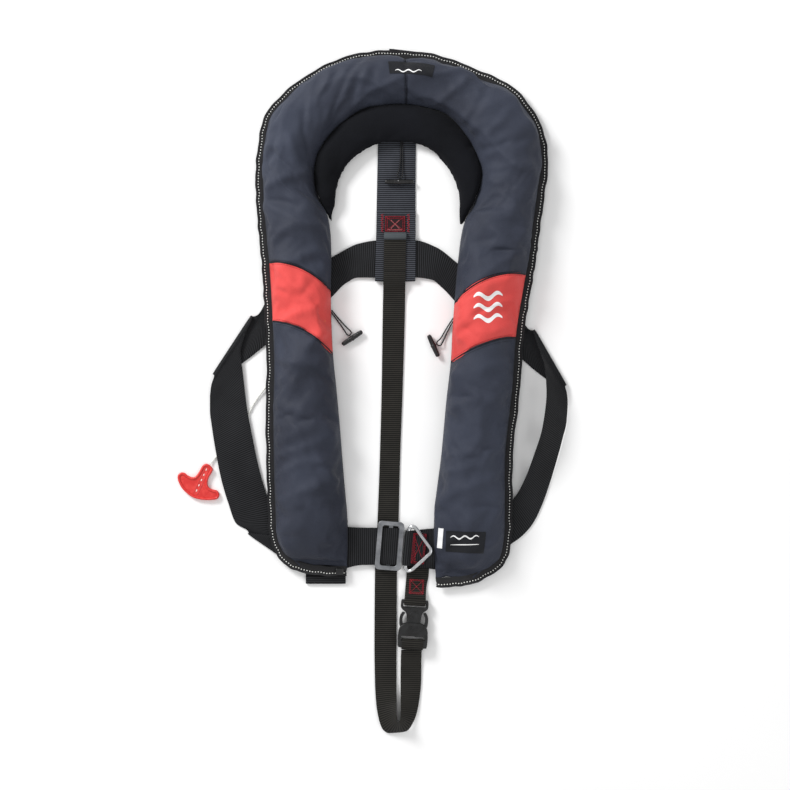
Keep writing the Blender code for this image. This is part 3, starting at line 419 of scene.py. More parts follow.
def thread_material(name, dark, light):
    """Twisted sewing thread or cord."""
    mat, tree, shader = start_material(name, 0.6, specular=0.2, sheen=0.03)
    solid = tree.nodes.new("ShaderNodeTexCoord").outputs["Object"]
    turn = node(tree, "ShaderNodeMapping", Rotation=(0.5, 0.6, 0.7))
    tree.links.new(solid, turn.inputs["Vector"])
    ply = bands(tree, turn.outputs["Vector"], "X", 0.0009)
    bump(tree, shader, ply, 0.5, 0.0002)
    fuzz = noise_value(tree, solid, 900.0, 3.0)
    tree.links.new(ramp(tree, fuzz, dark, light, 0.35, 0.65), shader.inputs["Base Color"])
    return mat


RIB = 2.3          # pitch of the webbing's ribs, in millimetres
PER_RIB = 4        # rows of its mesh to each rib
MATS = {
    "navy": cloth_material("navy_cloth", rgb(38, 41, 52), rgb(58, 63, 77)),
    "red": cloth_material("red_cloth", rgb(206, 66, 64), rgb(226, 86, 82)),
    "back": cloth_material("back_cloth", rgb(17, 18, 21), rgb(28, 29, 33), pitch=0.0010),
    "pad": cloth_material("pad_cloth", rgb(12, 13, 16), rgb(25, 26, 31), coords="Object", pitch=0.0011,
                          rough=0.85, sheen=0.03, specular=0.08),
    "bladder": cloth_material("bladder_cloth", rgb(214, 160, 20), rgb(240, 190, 40), coords="Object",
                              rough=0.42, sheen=0.05),
    # Webbing and zip tape: their light colour is mostly the painted highlight on the rib crests.
    "tape": webbing_material("zip_tape", rgb(12, 12, 13), rgb(58, 58, 60), 0.0012),
    "belt": webbing_material("belt_webbing", rgb(4, 4, 5), rgb(46, 47, 50), RIB * MM),
    "strap": webbing_material("strap_webbing", rgb(5, 5, 5), rgb(52, 50, 46), RIB * MM),
    "yoke": webbing_material("yoke_webbing", rgb(6, 7, 9), rgb(76, 79, 87), RIB * MM),
    "label": cloth_material("label_cloth", rgb(14, 15, 19), rgb(30, 32, 38), pitch=0.0005, weave=0.5),
    "white": cloth_material("print_white", rgb(225, 225, 225), rgb(248, 248, 248), sheen=0.0, weave=0.25),
    "plastic": plastic_material("black_plastic", rgb(10, 10, 11), rgb(26, 26, 28), rough=0.34),
    "red_plastic": plastic_material("red_plastic", rgb(205, 45, 42), rgb(228, 70, 62), rough=0.38),
    "yellow_plastic": plastic_material("yellow_plastic", rgb(215, 160, 15), rgb(240, 190, 40)),
    "grey_plastic": plastic_material("grey_plastic", rgb(110, 112, 116), rgb(140, 142, 146)),
    "green_plastic": plastic_material("green_plastic", rgb(20, 110, 50), rgb(40, 140, 70)),
    "rubber": plastic_material("black_rubber", rgb(16, 16, 17), rgb(30, 30, 32), rough=0.7),
    "steel": metal_material("polished_steel", rgb(190, 192, 194), rgb(225, 226, 228), rough=0.14),
    "matt": metal_material("matt_steel", rgb(120, 122, 126), rgb(160, 162, 166), rough=0.38, brushed=0.2),
    "brass": metal_material("brass_metal", rgb(200, 160, 90), rgb(225, 188, 110), rough=0.25),
    "zip": plastic_material("zip_teeth", rgb(222, 222, 218), rgb(250, 250, 248), rough=0.5),
    "black_cord": thread_material("black_cord", rgb(16, 16, 17), rgb(42, 42, 44)),
    "white_cord": thread_material("white_cord", rgb(205, 204, 198), rgb(240, 240, 236)),
    "red_thread": thread_material("red_thread", rgb(120, 20, 34), rgb(176, 44, 58)),
    "navy_thread": thread_material("navy_thread", rgb(10, 11, 16), rgb(28, 31, 40)),
    "pink_thread": thread_material("pink_thread", rgb(176, 92, 96), rgb(222, 150, 150)),
    "fold_web": cloth_material("fold_web", rgb(52, 57, 60), rgb(82, 88, 92), coords="Object"),
    "tack_web": cloth_material("tack_web", rgb(22, 9, 12), rgb(44, 20, 24), coords="Object"),
    # Pale pads on the handle's stem: painted light in place of the lit floor seen through holes.
    "painted_hole_light": plastic_material("handle_marks", rgb(238, 196, 190), rgb(250, 226, 222)),
}


# ---------------------------------------------------------------- camera, floor and lights

def make_camera():
    """A camera straight above, as far off as the framing needs."""
    data = bpy.data.cameras.new("camera")
    data.lens = LENS
    data.sensor_width = SENSOR
    data.clip_start, data.clip_end = 0.1, 20.0
    camera = bpy.data.objects.new("camera", data)
    camera.location = CAMERA_AT
    bpy.context.scene.collection.objects.link(camera)
    bpy.context.scene.camera = camera
    bpy.context.scene.view_settings.view_transform = "Standard"


FLOOR_HALF = 6.0       # in metres
FLOOR_Z = -0.0004
WORLD_STRENGTH = 0.63
# Soft lamps: name, place, side of the square, power in watts
LAMPS = [
    ("key", (-1.6, 1.6, 1.35), 0.8, 60.0),
    ("fill", (1.7, -0.6, 1.9), 1.6, 9.0),
    ("low", (-0.6, -1.6, 1.5), 1.4, 4.0),
]


def make_floor():
    """A plain pale floor."""
    half = FLOOR_HALF
    floor = new_object("floor", [(-half, -half, 0), (half, -half, 0), (half, half, 0), (-half, half, 0)],
                       [(0, 1, 2, 3)], smooth=False)
    floor.location.z = FLOOR_Z
    mat, tree, shader = start_material("floor_paper", 0.9, specular=0.1)
    solid = tree.nodes.new("ShaderNodeTexCoord").outputs["Object"]
    tone = noise_value(tree, solid, 3.0, 2.0)
    colour = ramp(tree, tone, (0.93, 0.93, 0.93, 1), (0.95, 0.95, 0.95, 1), 0.3, 0.7)
    tree.links.new(colour, shader.inputs["Base Color"])
    floor.data.materials.append(mat)


def area_light(name, at, size, power):
    """A soft square lamp aimed at the jacket's middle."""
    data = bpy.data.lights.new(name, "AREA")
    data.shape = "SQUARE"
    data.size = size
    data.energy = power
    lamp = bpy.data.objects.new(name, data)
    lamp.location = at
    lamp.rotation_euler = (-Vector(at)).to_track_quat("-Z", "Y").to_euler()
    bpy.context.scene.collection.objects.link(lamp)


def make_light():
    """Even studio light from all round, with a stronger lamp beyond the collar."""
    world = bpy.data.worlds.new("studio")
    world.use_nodes = True
    back = world.node_tree.nodes["Background"]
    back.inputs["Color"].default_value = (1, 1, 1, 1)
    back.inputs["Strength"].default_value = WORLD_STRENGTH
    bpy.context.scene.world = world
    for lamp in LAMPS:
        area_light(*lamp)


# ---------------------------------------------------------------- cords

# Middle lines of the toggles' cord loops
TOGGLE_CORDS = [
    ("left", [(-47.6, 92, 3.2), (-42.5, 85.5, 2.6), (-37.2, 78.8, 1.6), (-31.5, 71.8, 1.6),
              (-27.3, 66.7, 3.4)]),
    ("right", [(94, 83.4, 3.2), (89.5, 76.6, 2.6), (84.4, 67.6, 1.6), (80.3, 59.4, 1.6), (76.8, 54.8, 3.4)]),
    ("back", [(34, 288, 3.4), (33.6, 276, 3.0), (33.4, 264, 2.9), (32.7, 254, 3.2), (31.6, 247.2, 4.8)]),
]
CORD_R = 0.75              # radius of the toggles' cord
CORD_GAP = (0.95, 2.9)     # half the loop's width at the cover and at the toggle
LINE_R = 0.9               # radius of the lanyard and the whistle's cord
LANYARD = [
    (-95.5, 45, 11), (-96, 44.4, 8.4), (-97, 43, 5.2), (-99, 40, 3.0), (-104, 32, 2.6), (-111, 22, 2.6),
    (-118, 11.5, 2.6), (-124, 2, 2.2), (-131, -7, 1.5), (-137.5, -17, 1.2), (-144, -30, 1.2),
    (-155, -46, 1.15), (-168, -62, 1.15), (-178, -74, 1.2), (-184, -81, 1.5), (-186.4, -84.4, 2.2),
]
WHISTLE_CORD = [(122, 27, 12), (121, 32, 14), (118.5, 38, 20), (119, 43, 25), (122, 48, 25)]


def cord_loop(route):
    """A doubled cord: out along one side of the route, round the toggle's side and back."""
    count, near, far = 10, [], []
    for k in range(count + 1):
        t = (len(route) - 1) * k / count
        here = Vector(spline(route, t))
        step = Vector(spline(route, min(t + 0.05, len(route) - 1))) - Vector(spline(route, max(t - 0.05, 0)))
        side = Vector((-step.y, step.x, 0)).normalized()
        half = CORD_GAP[0] + (CORD_GAP[1] - CORD_GAP[0]) * (k / count) ** 2
        near.append(here + side * half)
        far.append(here - side * half)
    ahead = Vector((step.x, step.y, 0)).normalized()
    turn = [here + side * CORD_GAP[1] * math.cos(a) + ahead * CORD_GAP[1] * math.sin(a)
            for a in (math.pi / 4, math.pi / 2, 3 * math.pi / 4)]
    return near + turn + far[::-1]


def cord_mesh(name, points, radius, count, material, body, slot, replaces):
    """A twisted round cord through drawing points; returns it, its path and its length."""
    points = [tuple(p) for p in points]
    values, length = even_values(lambda t: Vector(spline(points, t)), len(points) - 1, 1.0)
    values = np.interp(np.linspace(0, len(values) - 1, count), range(len(values)), values)
    line = [place(*spline(points, t)) for t in values]
    verts, side, sides = [], Vector((0, 0, 1)), 10
    for k, spot in enumerate(line):
        along = (line[min(k + 1, count - 1)] - line[max(k - 1, 0)]).normalized()
        ring, side = circle(spot, along, side, radius * MM, sides)
        strand = [1 + 0.07 * math.cos(3 * 2 * math.pi * j / sides - k * 0.9) for j in range(sides)]
        verts += [spot.lerp(p, wide) for p, wide in zip(ring, strand)]
    ob = new_object(name, verts, ring_faces(count, sides))
    outward(ob)
    finish_piece(ob, body, slot, material, (replaces,))
    return ob, [tuple(p) for p in line], length * MM


def make_cords():
    """The toggles' cord loops, the pull lanyard and the whistle's short cord."""
    black, white = MATS["black_cord"], MATS["white_cord"]
    for side, route in TOGGLE_CORDS:
        ob, path, length = cord_mesh("cord_loop_" + side, cord_loop(route), CORD_R, 110, black, "jacket",
                                     "black_cord", "toggle_cord_" + side)
    ob, path, length = cord_mesh("lanyard", LANYARD, LINE_R, 210, white, "handle", "white_cord",
                                 "pull_lanyard")
    cord_mesh("whistle_line", WHISTLE_CORD, LINE_R, 40, white, "jacket", "white_cord", "whistle_cord")


# ---------------------------------------------------------------- the cover

def rim_point(t):
    """The band's outer edge at station t and the direction in from it."""
    here, ahead, behind = [Vector(spline(STATIONS, v)[2:4])
                           for v in (t, min(t + 0.05, len(STATIONS) - 1), max(t - 0.05, 0))]
    along = ahead - behind
    along.normalize()
    return here, Vector((along.y, -along.x))


def swell(u):
    """Height of a padded section at share u of its width, out of 1."""
    return max(1 - abs(2 * u - 1) ** 2.5, 0.0) ** 0.55


def cover_point(t, u, sink=0.0):
    """A drawing point of the front cover at station t and share u of the width."""
    x, y, _, _, crown, bow = spline(STATIONS, t)
    edge, inward = rim_point(t)
    inner, outer = Vector((x, y)), edge + inward * COVER_EDGE
    across = outer - inner
    rise = math.copysign(bow * 4 * u * (1 - u), across.x)
    spot = inner + across * u + Vector((-across.y, across.x)).normalized() * rise
    low, high = INNER_Z, BAND_Z + 1.8
    base = low + (high - low) * u
    return Vector((spot.x, spot.y, base + (max(crown - sink, INNER_Z + 1.5) - base) * swell(u)))


# Creases of the cloth: direction, spacing across and along them, depth in millimetres
CREASES = [(0.5, 26.0, 105.0, 4.6), (-0.6, 34.0, 125.0, 4.2), (1.3, 46.0, 140.0, 2.4)]
CYL_X, CYL_Z = -81.5, 21.9     # axis of the gas cylinder
CYL_ENDS = (-130, 48)          # how far along the lobe the cloth lies over it
CLOTH_OVER = 17.5              # distance from that axis at which the cloth lies
COVER_EDGE = 9.0       # distance of the cloth's edge from the band's outer edge
COVER_COLS = 30        # columns of the cover's cloth, from its inner to its outer edge
COVER_STEP = 4.6       # rows of the cover's cloth, in millimetres along its middle
SINK = 5.0             # how much lower the cloth starts than it ends
COVER_PRESSURE = 5.0
COVER_GROW = 0.035     # how much larger the cloth is cut than its place
COVER_FRAMES = 22
COVER_MOVE = 9.0       # the farthest that a point of it may move
STATION_MM, WIDTH_MM = 40.0, 95.0      # rough sizes of a station's step and of a lobe's width

# Folds pressed into the cloth: station and share at each end, depth, half width, in millimetres
FOLDS = [
    (15.2, 0.15, 16.6, 0.95, -2.4, 4.0), (15.9, 0.05, 16.9, 0.8, 1.8, 4.5),
    (16.6, 0.1, 17.0, 0.95, -1.6, 3.5), (13.6, 0.1, 15.0, 0.7, -1.8, 4.5), (14.4, 0.3, 15.4, 0.95, 1.6, 4.0),
    (12.2, 0.15, 12.9, 0.85, -2.2, 4.5), (12.7, 0.3, 13.4, 0.9, 1.8, 4.0),
    (11.4, 0.5, 12.4, 0.95, -1.5, 4.0),
    (20.8, 0.05, 20.4, 0.9, -2.2, 4.5), (21.6, 0.05, 21.3, 0.9, 2.0, 5.0), (22.0, 0.1, 22.4, 0.9, -2.4, 4.5),
    (22.9, 0.05, 23.2, 0.85, 1.8, 5.0), (23.6, 0.15, 24.2, 0.8, -2.0, 5.0),
    (24.8, 0.1, 25.2, 0.75, -1.6, 5.0),
    (25.6, 0.1, 26.4, 0.9, -1.4, 5.0),
    (8.0, 0.05, 8.5, 0.6, -1.5, 4.0), (8.5, 0.3, 8.1, 0.95, 1.2, 4.5), (7.6, 0.1, 7.9, 0.8, -1.2, 4.0),
    (27.6, 0.2, 27.8, 0.9, -1.3, 4.0), (28.3, 0.1, 28.4, 0.7, -1.4, 4.5),
    (2.2, 0.2, 4.0, 0.9, -1.6, 6.0), (1.6, 0.15, 2.6, 0.6, 1.6, 5.0), (3.4, 0.15, 5.0, 0.6, -1.3, 6.0),
    (5.0, 0.7, 6.4, 0.35, -1.2, 7.0),
    (33.6, 0.1, 32.0, 0.9, -1.8, 6.0), (34.0, 0.3, 33.0, 0.95, 1.5, 5.0), (32.4, 0.1, 30.8, 0.7, -1.2, 7.0),
    (30.6, 0.8, 29.6, 0.3, -1.2, 6.0),
]


def simulate_sheet(ob, pinned, pressure, grow, frames, cap):
    """Blows the pinned sheet up as cloth, applies it and limits how far each point moved."""
    before = np.array([v.co for v in ob.data.vertices])
    group = ob.vertex_groups.new(name="pinned")
    group.add(pinned, 1.0, "REPLACE")
    cloth = modify(ob, "CLOTH").settings
    values = {"quality": 6, "mass": 0.12, "tension_stiffness": 12, "compression_stiffness": 12,
              "shear_stiffness": 5, "bending_stiffness": 0.08, "air_damping": 3.0, "use_pressure": True,
              "uniform_pressure_force": pressure, "shrink_min": -grow}
    for key, value in values.items():
        setattr(cloth, key, value)
    cloth.effector_weights.gravity = 0.0
    if pinned:
        cloth.vertex_group_mass = "pinned"
    ob.modifiers["Cloth"].collision_settings.use_collision = False
    ob.modifiers["Cloth"].point_cache.frame_end = frames
    scene = bpy.context.scene
    for f in range(1, frames + 1):
        scene.frame_set(f)
    graph = bpy.context.evaluated_depsgraph_get()
    after = np.array([v.co for v in ob.evaluated_get(graph).data.vertices])
    ob.modifiers.clear()
    scene.frame_set(1)
    move = np.nan_to_num(after - before)
    far = np.linalg.norm(move, axis=1, keepdims=True)
    move *= np.minimum(1.0, cap / np.maximum(far, 1e-9))
    ob.vertex_groups.clear()
    ob.data.vertices.foreach_set("co", (before + move).ravel())
    ob.data.update()


def fold_depth(t, u):
    """How far the pressed folds lift or sink the cloth at t, u, in millimetres."""
    total = 0.0
    for t0, u0, t1, u1, depth, half in FOLDS:
        a = Vector(((t - t0) * STATION_MM, (u - u0) * WIDTH_MM))
        line = Vector(((t1 - t0) * STATION_MM, (u1 - u0) * WIDTH_MM))
        share = a.dot(line) / line.length_squared
        if -0.15 < share < 1.15:
            gap = abs(a.x * line.y - a.y * line.x) / line.length
            if gap < half * 3:
                ends = math.sin(math.pi * min(max((share + 0.15) / 1.3, 0), 1)) ** 0.7
                total += 1.5 * depth * ends * math.exp(-(gap / (0.8 * half)) ** 2)
    return total


def crumple(spot):
    """Sharp little creases running mostly across the lobes, in millimetres."""
    total = 0.0
    for turn, near, far, depth in CREASES:
        along = spot[0] * math.cos(turn) + spot[1] * math.sin(turn)
        across = spot[1] * math.cos(turn) - spot[0] * math.sin(turn)
        bend = noise.noise(Vector((along / 60, across / 60, turn))) * 14
        value = noise.noise(Vector((along / far, (across + bend) / near, 7.0 + turn)))
        total += depth * ((1 - abs(value)) ** 4.5 - 0.33)
    return total


def over_cylinder(spot):
    """Lowest height the cloth may have at a frame point: it lies on the gas cylinder."""
    x, y = spot[0] / MM - SHIFT[0] - CYL_X, spot[1] / MM - SHIFT[1]
    if abs(x) > CLOTH_OVER or not CYL_ENDS[0] < y < CYL_ENDS[1]:
        return -1.0
    return (CYL_Z + 1.8 + math.sqrt(CLOTH_OVER ** 2 - x * x)) * MM


def cloth_lift(t, u, spot, seams):
    """How far folds, creases, ripples, gathers and seams move the cloth out, in millimetres."""
    hold = smooth_step(u / 0.12) * smooth_step((1 - u) / 0.12)
    gathers = 0.55 * math.sin(t * 31 + 2.5 * math.sin(t * 7)) * math.exp(-((1 - u) / 0.13) ** 2)
    ripple = 1.1 * noise.noise(Vector((t * 1.7, u * 3.0, 4.2)))
    ripple += 0.5 * noise.noise(Vector((t * 6.0, u * 7.0, 9.1)))
    near = min(abs(t - m) for m in seams) * STATION_MM
    lift = (fold_depth(t, u) + crumple(spot / MM) + ripple) * hold + gathers * smooth_step(u / 0.1)
    return lift - 1.1 * math.exp(-(near / 2.2) ** 2) * hold


def make_cover():
    """The front cover: one sheet blown up as cloth, creased, and cut into its sewn panels."""
    last = len(STATIONS) - 1
    stops, _ = even_values(lambda t: cover_point(t, 0.5), last, COVER_STEP)
    marks = sorted({m for _, a, b, _ in PANELS for m in (a, b)})
    nearest = {m: min(range(len(stops)), key=lambda i: abs(stops[i] - m)) for m in marks}
    for m, i in nearest.items():
        stops[i] = float(m)
    shares = [0.5 * (1 - math.cos(math.pi * k / COVER_COLS)) * 0.6 + 0.4 * k / COVER_COLS
              for k in range(COVER_COLS + 1)]
    cols = COVER_COLS + 1
    grid = [cover_point(t, u, SINK) for t in stops for u in shares]
    sheet = new_object("cover_cloth", [place(*p) for p in grid], grid_faces(len(stops), cols))
    face_up(sheet)
    pinned = [i for i in range(len(grid)) if i % cols in (0, cols - 1) or i < cols or i >= len(grid) - cols]
    simulate_sheet(sheet, pinned, COVER_PRESSURE, COVER_GROW, COVER_FRAMES, COVER_MOVE * MM)
    co = np.array([v.co for v in sheet.data.vertices])
    normals = np.array([v.normal for v in sheet.data.vertices])
    for r, t in enumerate(stops):
        for c, u in enumerate(shares):
            i = r * cols + c
            if 0 < c < cols - 1:
                co[i] += normals[i] * cloth_lift(t, u, co[i], marks[1:-1]) * MM
            co[i][2] = max(co[i][2], over_cylinder(co[i]))
    bpy.data.objects.remove(sheet, do_unlink=True)
    made = []
    for name, first, last_t, tone in PANELS:
        rows = list(range(nearest[first], nearest[last_t] + 1))
        made.append(cover_panel(name, rows, cols, co, stops, tone))
    return made


def end_hem(edge, away):
    """One more row of cloth, turned down under the zip band at a lobe's end."""
    step = Vector((*away, 0)).normalized() * 3.2 * MM
    return [p + step + Vector((0, 0, min(0.0, 7.2 * MM - p.z))) for p in edge]


def cover_panel(name, rows, cols, co, stops, tone):
    """One sewn panel: its share of the cloth, with thickness and smooth shading."""
    verts = [Vector(co[r * cols + c]) for r in rows for c in range(cols)]
    if stops[rows[0]] == 0:
        verts = end_hem(verts[:cols], (0.3, -1.0)) + verts
    if stops[rows[-1]] == len(STATIONS) - 1:
        verts += end_hem(verts[-cols:], (-0.15, -1.0))
    count = len(verts) // cols
    along, uvs = 0.0, []
    for k in range(count):
        if k:
            mid = cols // 2
            along += (verts[k * cols + mid] - verts[(k - 1) * cols + mid]).length
        across = 0.0
        for c in range(cols):
            if c:
                across += (verts[k * cols + c] - verts[k * cols + c - 1]).length
            uvs.append((along, across))
    ob = new_object(name + "_cloth", verts, grid_faces(count, cols), uvs)
    face_up(ob)
    modify(ob, "SUBSURF", levels=1, render_levels=1)
    modify(ob, "SOLIDIFY", thickness=0.8 * MM, offset=-1.0)
    apply_modifiers(ob)
    ob.data.shade_smooth()
    finish_piece(ob, "jacket", tone + "_cloth", MATS[tone], (name,))
    return ob


def make_back_panel():
    """The flat back of the cover, a little uneven."""
    last = len(STATIONS) - 1
    stops, _ = even_values(lambda t: cover_point(t, 0.5), last, 8.0)
    shares = [0, 0.02, 0.1, 0.25, 0.4, 0.55, 0.7, 0.85, 0.95, 1.0]
    verts, uvs = [], []
    for t in stops:
        for u in shares:
            p = cover_point(t, u)
            rise = 0.8 * smooth_step((u - 0.85) / 0.15)
            wave = 0.22 * noise.noise(Vector((p.x * 0.05, p.y * 0.05, 1.0)))
            verts.append(place(p.x, p.y, PANEL_Z + rise + wave))
            uvs.append((p.x * MM, p.y * MM))
    ob = new_object("back_panel_cloth", verts, grid_faces(len(stops), len(shares)), uvs)
    face_up(ob)
    modify(ob, "SOLIDIFY", thickness=0.9 * MM, offset=1.0)
    modify(ob, "SUBSURF", levels=1, render_levels=1)
    apply_modifiers(ob)
    finish_piece(ob, "jacket", "back_cloth", MATS["back"], ("cover_back_panel",))


# ---------------------------------------------------------------- the zip band

TEETH_IN = 3.7         # the teeth's distance in from the band's outer edge
TEETH_PITCH = 3.3


EDGE = BAND_START + [s[2:4] for s in STATIONS] + BAND_END
TAPE_STEP = 2.5


def band_point(t, inset, z):
    """A drawing point of the band, so far in from its outer edge."""
    last = len(EDGE) - 1
    along = Vector(spline(EDGE, min(t + 0.05, last))) - Vector(spline(EDGE, max(t - 0.05, 0)))
    along.normalize()
    wave = 0.35 * math.sin(t * 8.1) + 0.25 * math.sin(t * 13.7 + 1.0)
    here = Vector(spline(EDGE, t)) + Vector((along.y, -along.x)) * (inset + wave)
    return Vector((here.x, here.y, z)), Vector((along.x, along.y, 0))


def make_tape(name, first, last, profile, replaces):
    """A woven tape along the band: profile is (share across, height) pairs round its section."""
    stops, _ = even_values(lambda t: band_point(t, 0, 0)[0], len(EDGE) - 1, TAPE_STEP)
    verts, uvs = [], []
    for k, t in enumerate(stops):
        wave = 0.16 * math.sin(k * 0.9 + 2 * math.sin(k * 0.13))
        for share, z in profile:
            spot, _ = band_point(t, first + (last - first) * share, z + wave * (0.2 + 0.8 * (1 - share)))
            verts.append(place(*spot))
            uvs.append((k * TAPE_STEP * MM, share * (last - first) * MM))
    ob = new_object(name, verts, ring_faces(len(stops), len(profile)), uvs)
    outward(ob)
    modify(ob, "SUBSURF", levels=1, render_levels=1)
    apply_modifiers(ob)
    finish_piece(ob, "jacket", "zip_tape", MATS["tape"], replaces)


def tooth(spot, along, size):
    """Corner points and faces of one small rounded zip tooth."""
    side = Vector((-along.y, along.x, 0))
    long_half, wide_half, tall = size
    verts = []
    for height, share in ((-0.4, 0.85), (0.35, 1.0), (0.85, 0.8), (1.0, 0.4)):
        for k in range(8):
            a = 2 * math.pi * k / 8
            p = spot + along * math.cos(a) * long_half * share + side * math.sin(a) * wide_half * share
            verts.append(place(p.x, p.y, p.z + tall * height))
    return verts, ring_faces(4, 8)


# Section of a tape from its rolled edge: share across, height above BAND_Z
TAPE_SECTION = [(0.0, 0.6), (0.04, 1.3), (0.16, 1.45), (0.28, 1.0), (0.6, 1.0), (0.9, 1.1), (1.0, 0.6),
                (0.9, 0.1), (0.5, 0.1), (0.05, 0.1)]


def make_zip():
    """The zip band: outer and inner tapes, the bed between them and the row of teeth."""
    outer = [(a, BAND_Z + z) for a, z in TAPE_SECTION]
    make_tape("band_tape_outer", 0.0, TEETH_IN - 0.8, outer, ("zip_tape_outer",))
    inner = [(1 - a, z) for a, z in outer]
    make_tape("band_tape_inner", TEETH_IN + 0.8, BAND - 0.1, inner, ("zip_tape_inner",))
    stops, _ = even_values(lambda t: band_point(t, TEETH_IN, 0)[0], len(EDGE) - 1, TEETH_PITCH)
    verts, faces = [], []
    for t in stops[1:-1]:
        spot, along = band_point(t, TEETH_IN, BAND_Z + 0.4)
        new, links = tooth(spot, along, (0.85, 0.7, 1.1))
        faces += [tuple(i + len(verts) for i in f) for f in links]
        verts += new
    ob = new_object("band_teeth", verts, faces)
    outward(ob)
    finish_piece(ob, "jacket", "zip_teeth", MATS["zip"], ("zip_teeth",))
    bed = [(0.0, 5.9), (0.0, 6.5), (1.0, 6.5), (1.0, 5.9)]
    make_tape("band_zip_bed", TEETH_IN - 1.1, TEETH_IN + 1.1, bed, ())


# ---------------------------------------------------------------- webbing

def flat(x0, y0, x1, y1, z, z1=None):
    """A ribbon's row: its two edge points, level unless a second height is given."""
    return (x0, y0, z, x1, y1, z if z1 is None else z1)


def fold(start, end, out, low, high, steps=5):
    """Rows of a ribbon that turns back over itself about a crease."""
    rows = []
    radius = (high - low) / 2
    for k in range(steps + 1):
        turn = math.pi * k / steps
        bulge = math.sin(turn) * radius
        z = low + radius * (1 - math.cos(turn))
        rows.append((start[0] + out[0] * bulge, start[1] + out[1] * bulge, z,
                     end[0] + out[0] * bulge, end[1] + out[1] * bulge, z))
    return rows


def row_at(rows, t):
    """A ribbon's row at t: a smooth curve that never swings past the rows on either side."""
    last = len(rows) - 1
    i = min(int(t), last - 1)
    f = t - i
    gaps = [max(math.dist(rows[k], rows[k + 1]), 1e-6) for k in range(max(i - 1, 0), min(i + 2, last))]
    first = max(i - 1, 0)
    wide = gaps[i - first]

    def slope(k, n):
        """Slope of one value at row k: level at its turning points."""
        ahead = (rows[k + 1][n] - rows[k][n]) / gaps[k - first] if k < last else None
        behind = (rows[k][n] - rows[k - 1][n]) / gaps[k - 1 - first] if k > 0 else None
        if ahead is None or behind is None:
            return behind if ahead is None else ahead
        return 2 * ahead * behind / (ahead + behind) if ahead * behind > 0 else 0.0
    out = []
    for n, (a, b) in enumerate(zip(rows[i], rows[i + 1])):
        out.append(a * (2 * f ** 3 - 3 * f * f + 1) + slope(i, n) * wide * (f ** 3 - 2 * f * f + f)
                   + b * (3 * f * f - 2 * f ** 3) + slope(i + 1, n) * wide * (f ** 3 - f * f))
    return out


def webbing(name, stations, finish, replaces, thick=1.5, cols=10, height=0.32, body="jacket"):
    """Ribbed webbing through pairs of edge points, closed, with rounded edges."""
    def middle(t):
        row = row_at(stations, t)
        return Vector([(a + b) / 2 for a, b in zip(row[:3], row[3:])])
    stops, length = even_values(middle, len(stations) - 1, RIB / PER_RIB)
    half = thick / 2 - height
    verts, uvs = [], []
    rows = [row_at(stations, t) for t in stops]
    for k, row in enumerate(rows):
        left, right = Vector(row[:3]), Vector(row[3:])
        ahead, behind = rows[min(k + 1, len(rows) - 1)], rows[max(k - 1, 0)]
        along = Vector(ahead[:3]) + Vector(ahead[3:]) - Vector(behind[:3]) - Vector(behind[3:])
        along.normalize()
        across = right - left
        up = across.normalized().cross(along).normalized()
        run = length * k / (len(rows) - 1)
        crest = height * (0.5 - 0.5 * math.cos(2 * math.pi * run / RIB)) ** 0.6
        wide = across.length
        for side in (1, -1):
            for c in (range(cols + 1) if side == 1 else range(cols, -1, -1)):
                share = c / cols
                edge = min(share, 1 - share) * wide
                body_half = half + crest if edge > 0.5 else half * 0.55 + crest * 0.6
                spot = left + across * share + up * body_half * side
                verts.append(place(*spot))
                uvs.append((run * MM, share * wide * MM))
    ob = new_object(name, verts, ring_faces(len(rows), 2 * (cols + 1)), uvs)
    outward(ob)
    ob.data.set_sharp_from_angle(angle=math.radians(75))
    return finish_piece(ob, body, "webbing", MATS[finish], replaces)


def belt_left_rows():
    """The waist belt's left half, from the back strap round the side to the slide buckle and past it."""
    low = 1.15
    rows = [flat(26, 172.6, 26, 130, 3.1), flat(6, 172.6, 4, 130, 3.1), flat(-16, 169, -16, 130, 2.7),
            flat(-42, 156, -30, 124, low), flat(-74, 137, -52, 103, low), flat(-116, 111, -93, 76, low)]
    rows += fold((-137.5, 85.5), (-181.6, 18), (-0.87, 0.49), low, 5.2)
    rows += [flat(-147, 62, -185, 6, 5.0), flat(-151, 44, -186.5, -8, 4.6),
             flat(-148, 14, -186.6, -22, 3.4), flat(-144, -20, -184, -44, 3.2),
             flat(-138, -52, -179.5, -72, 3.2), flat(-131.5, -84, -174, -100, 3.0),
             flat(-124, -112, -166, -128, 1.6), flat(-112, -148, -157, -152, low)]
    rows += fold((-84.5, -203.5), (-142.5, -163.5), (-0.58, -0.81), low, 2.9, steps=4)
    rows += [flat(-64, -207, -110, -166, 2.9), flat(-44, -205, -70, -160.5, 2.9),
             flat(-31, -204, -33, -156, 3.0), flat(-22, -201.5, -22, -156.8, 4.5),
             flat(-12, -200, -12, -157, 4.6), flat(31.0, -199.6, 34.2, -157.4, 4.6)]
    return rows


RING_X, RING_Y, RING_Z = 39.8, -180.5, 6.6
RING_WIRE, RING_TURN, RING_LEAN = 2.3, -5.5, 13.0
RING_LINE = [
    (0, -21.5), (0, 21.5), (0.7, 23.6), (2.4, 25.3), (4.8, 25.7), (7.2, 24.6), (24.6, 5.6), (27.2, 3.0),
    (28.2, 0), (27.2, -3.0), (24.6, -5.6), (7.2, -24.6), (4.8, -25.7), (2.4, -25.3), (0.7, -23.6),
]
LOOP_R, LOOP_HALF = 3.45, 20.0


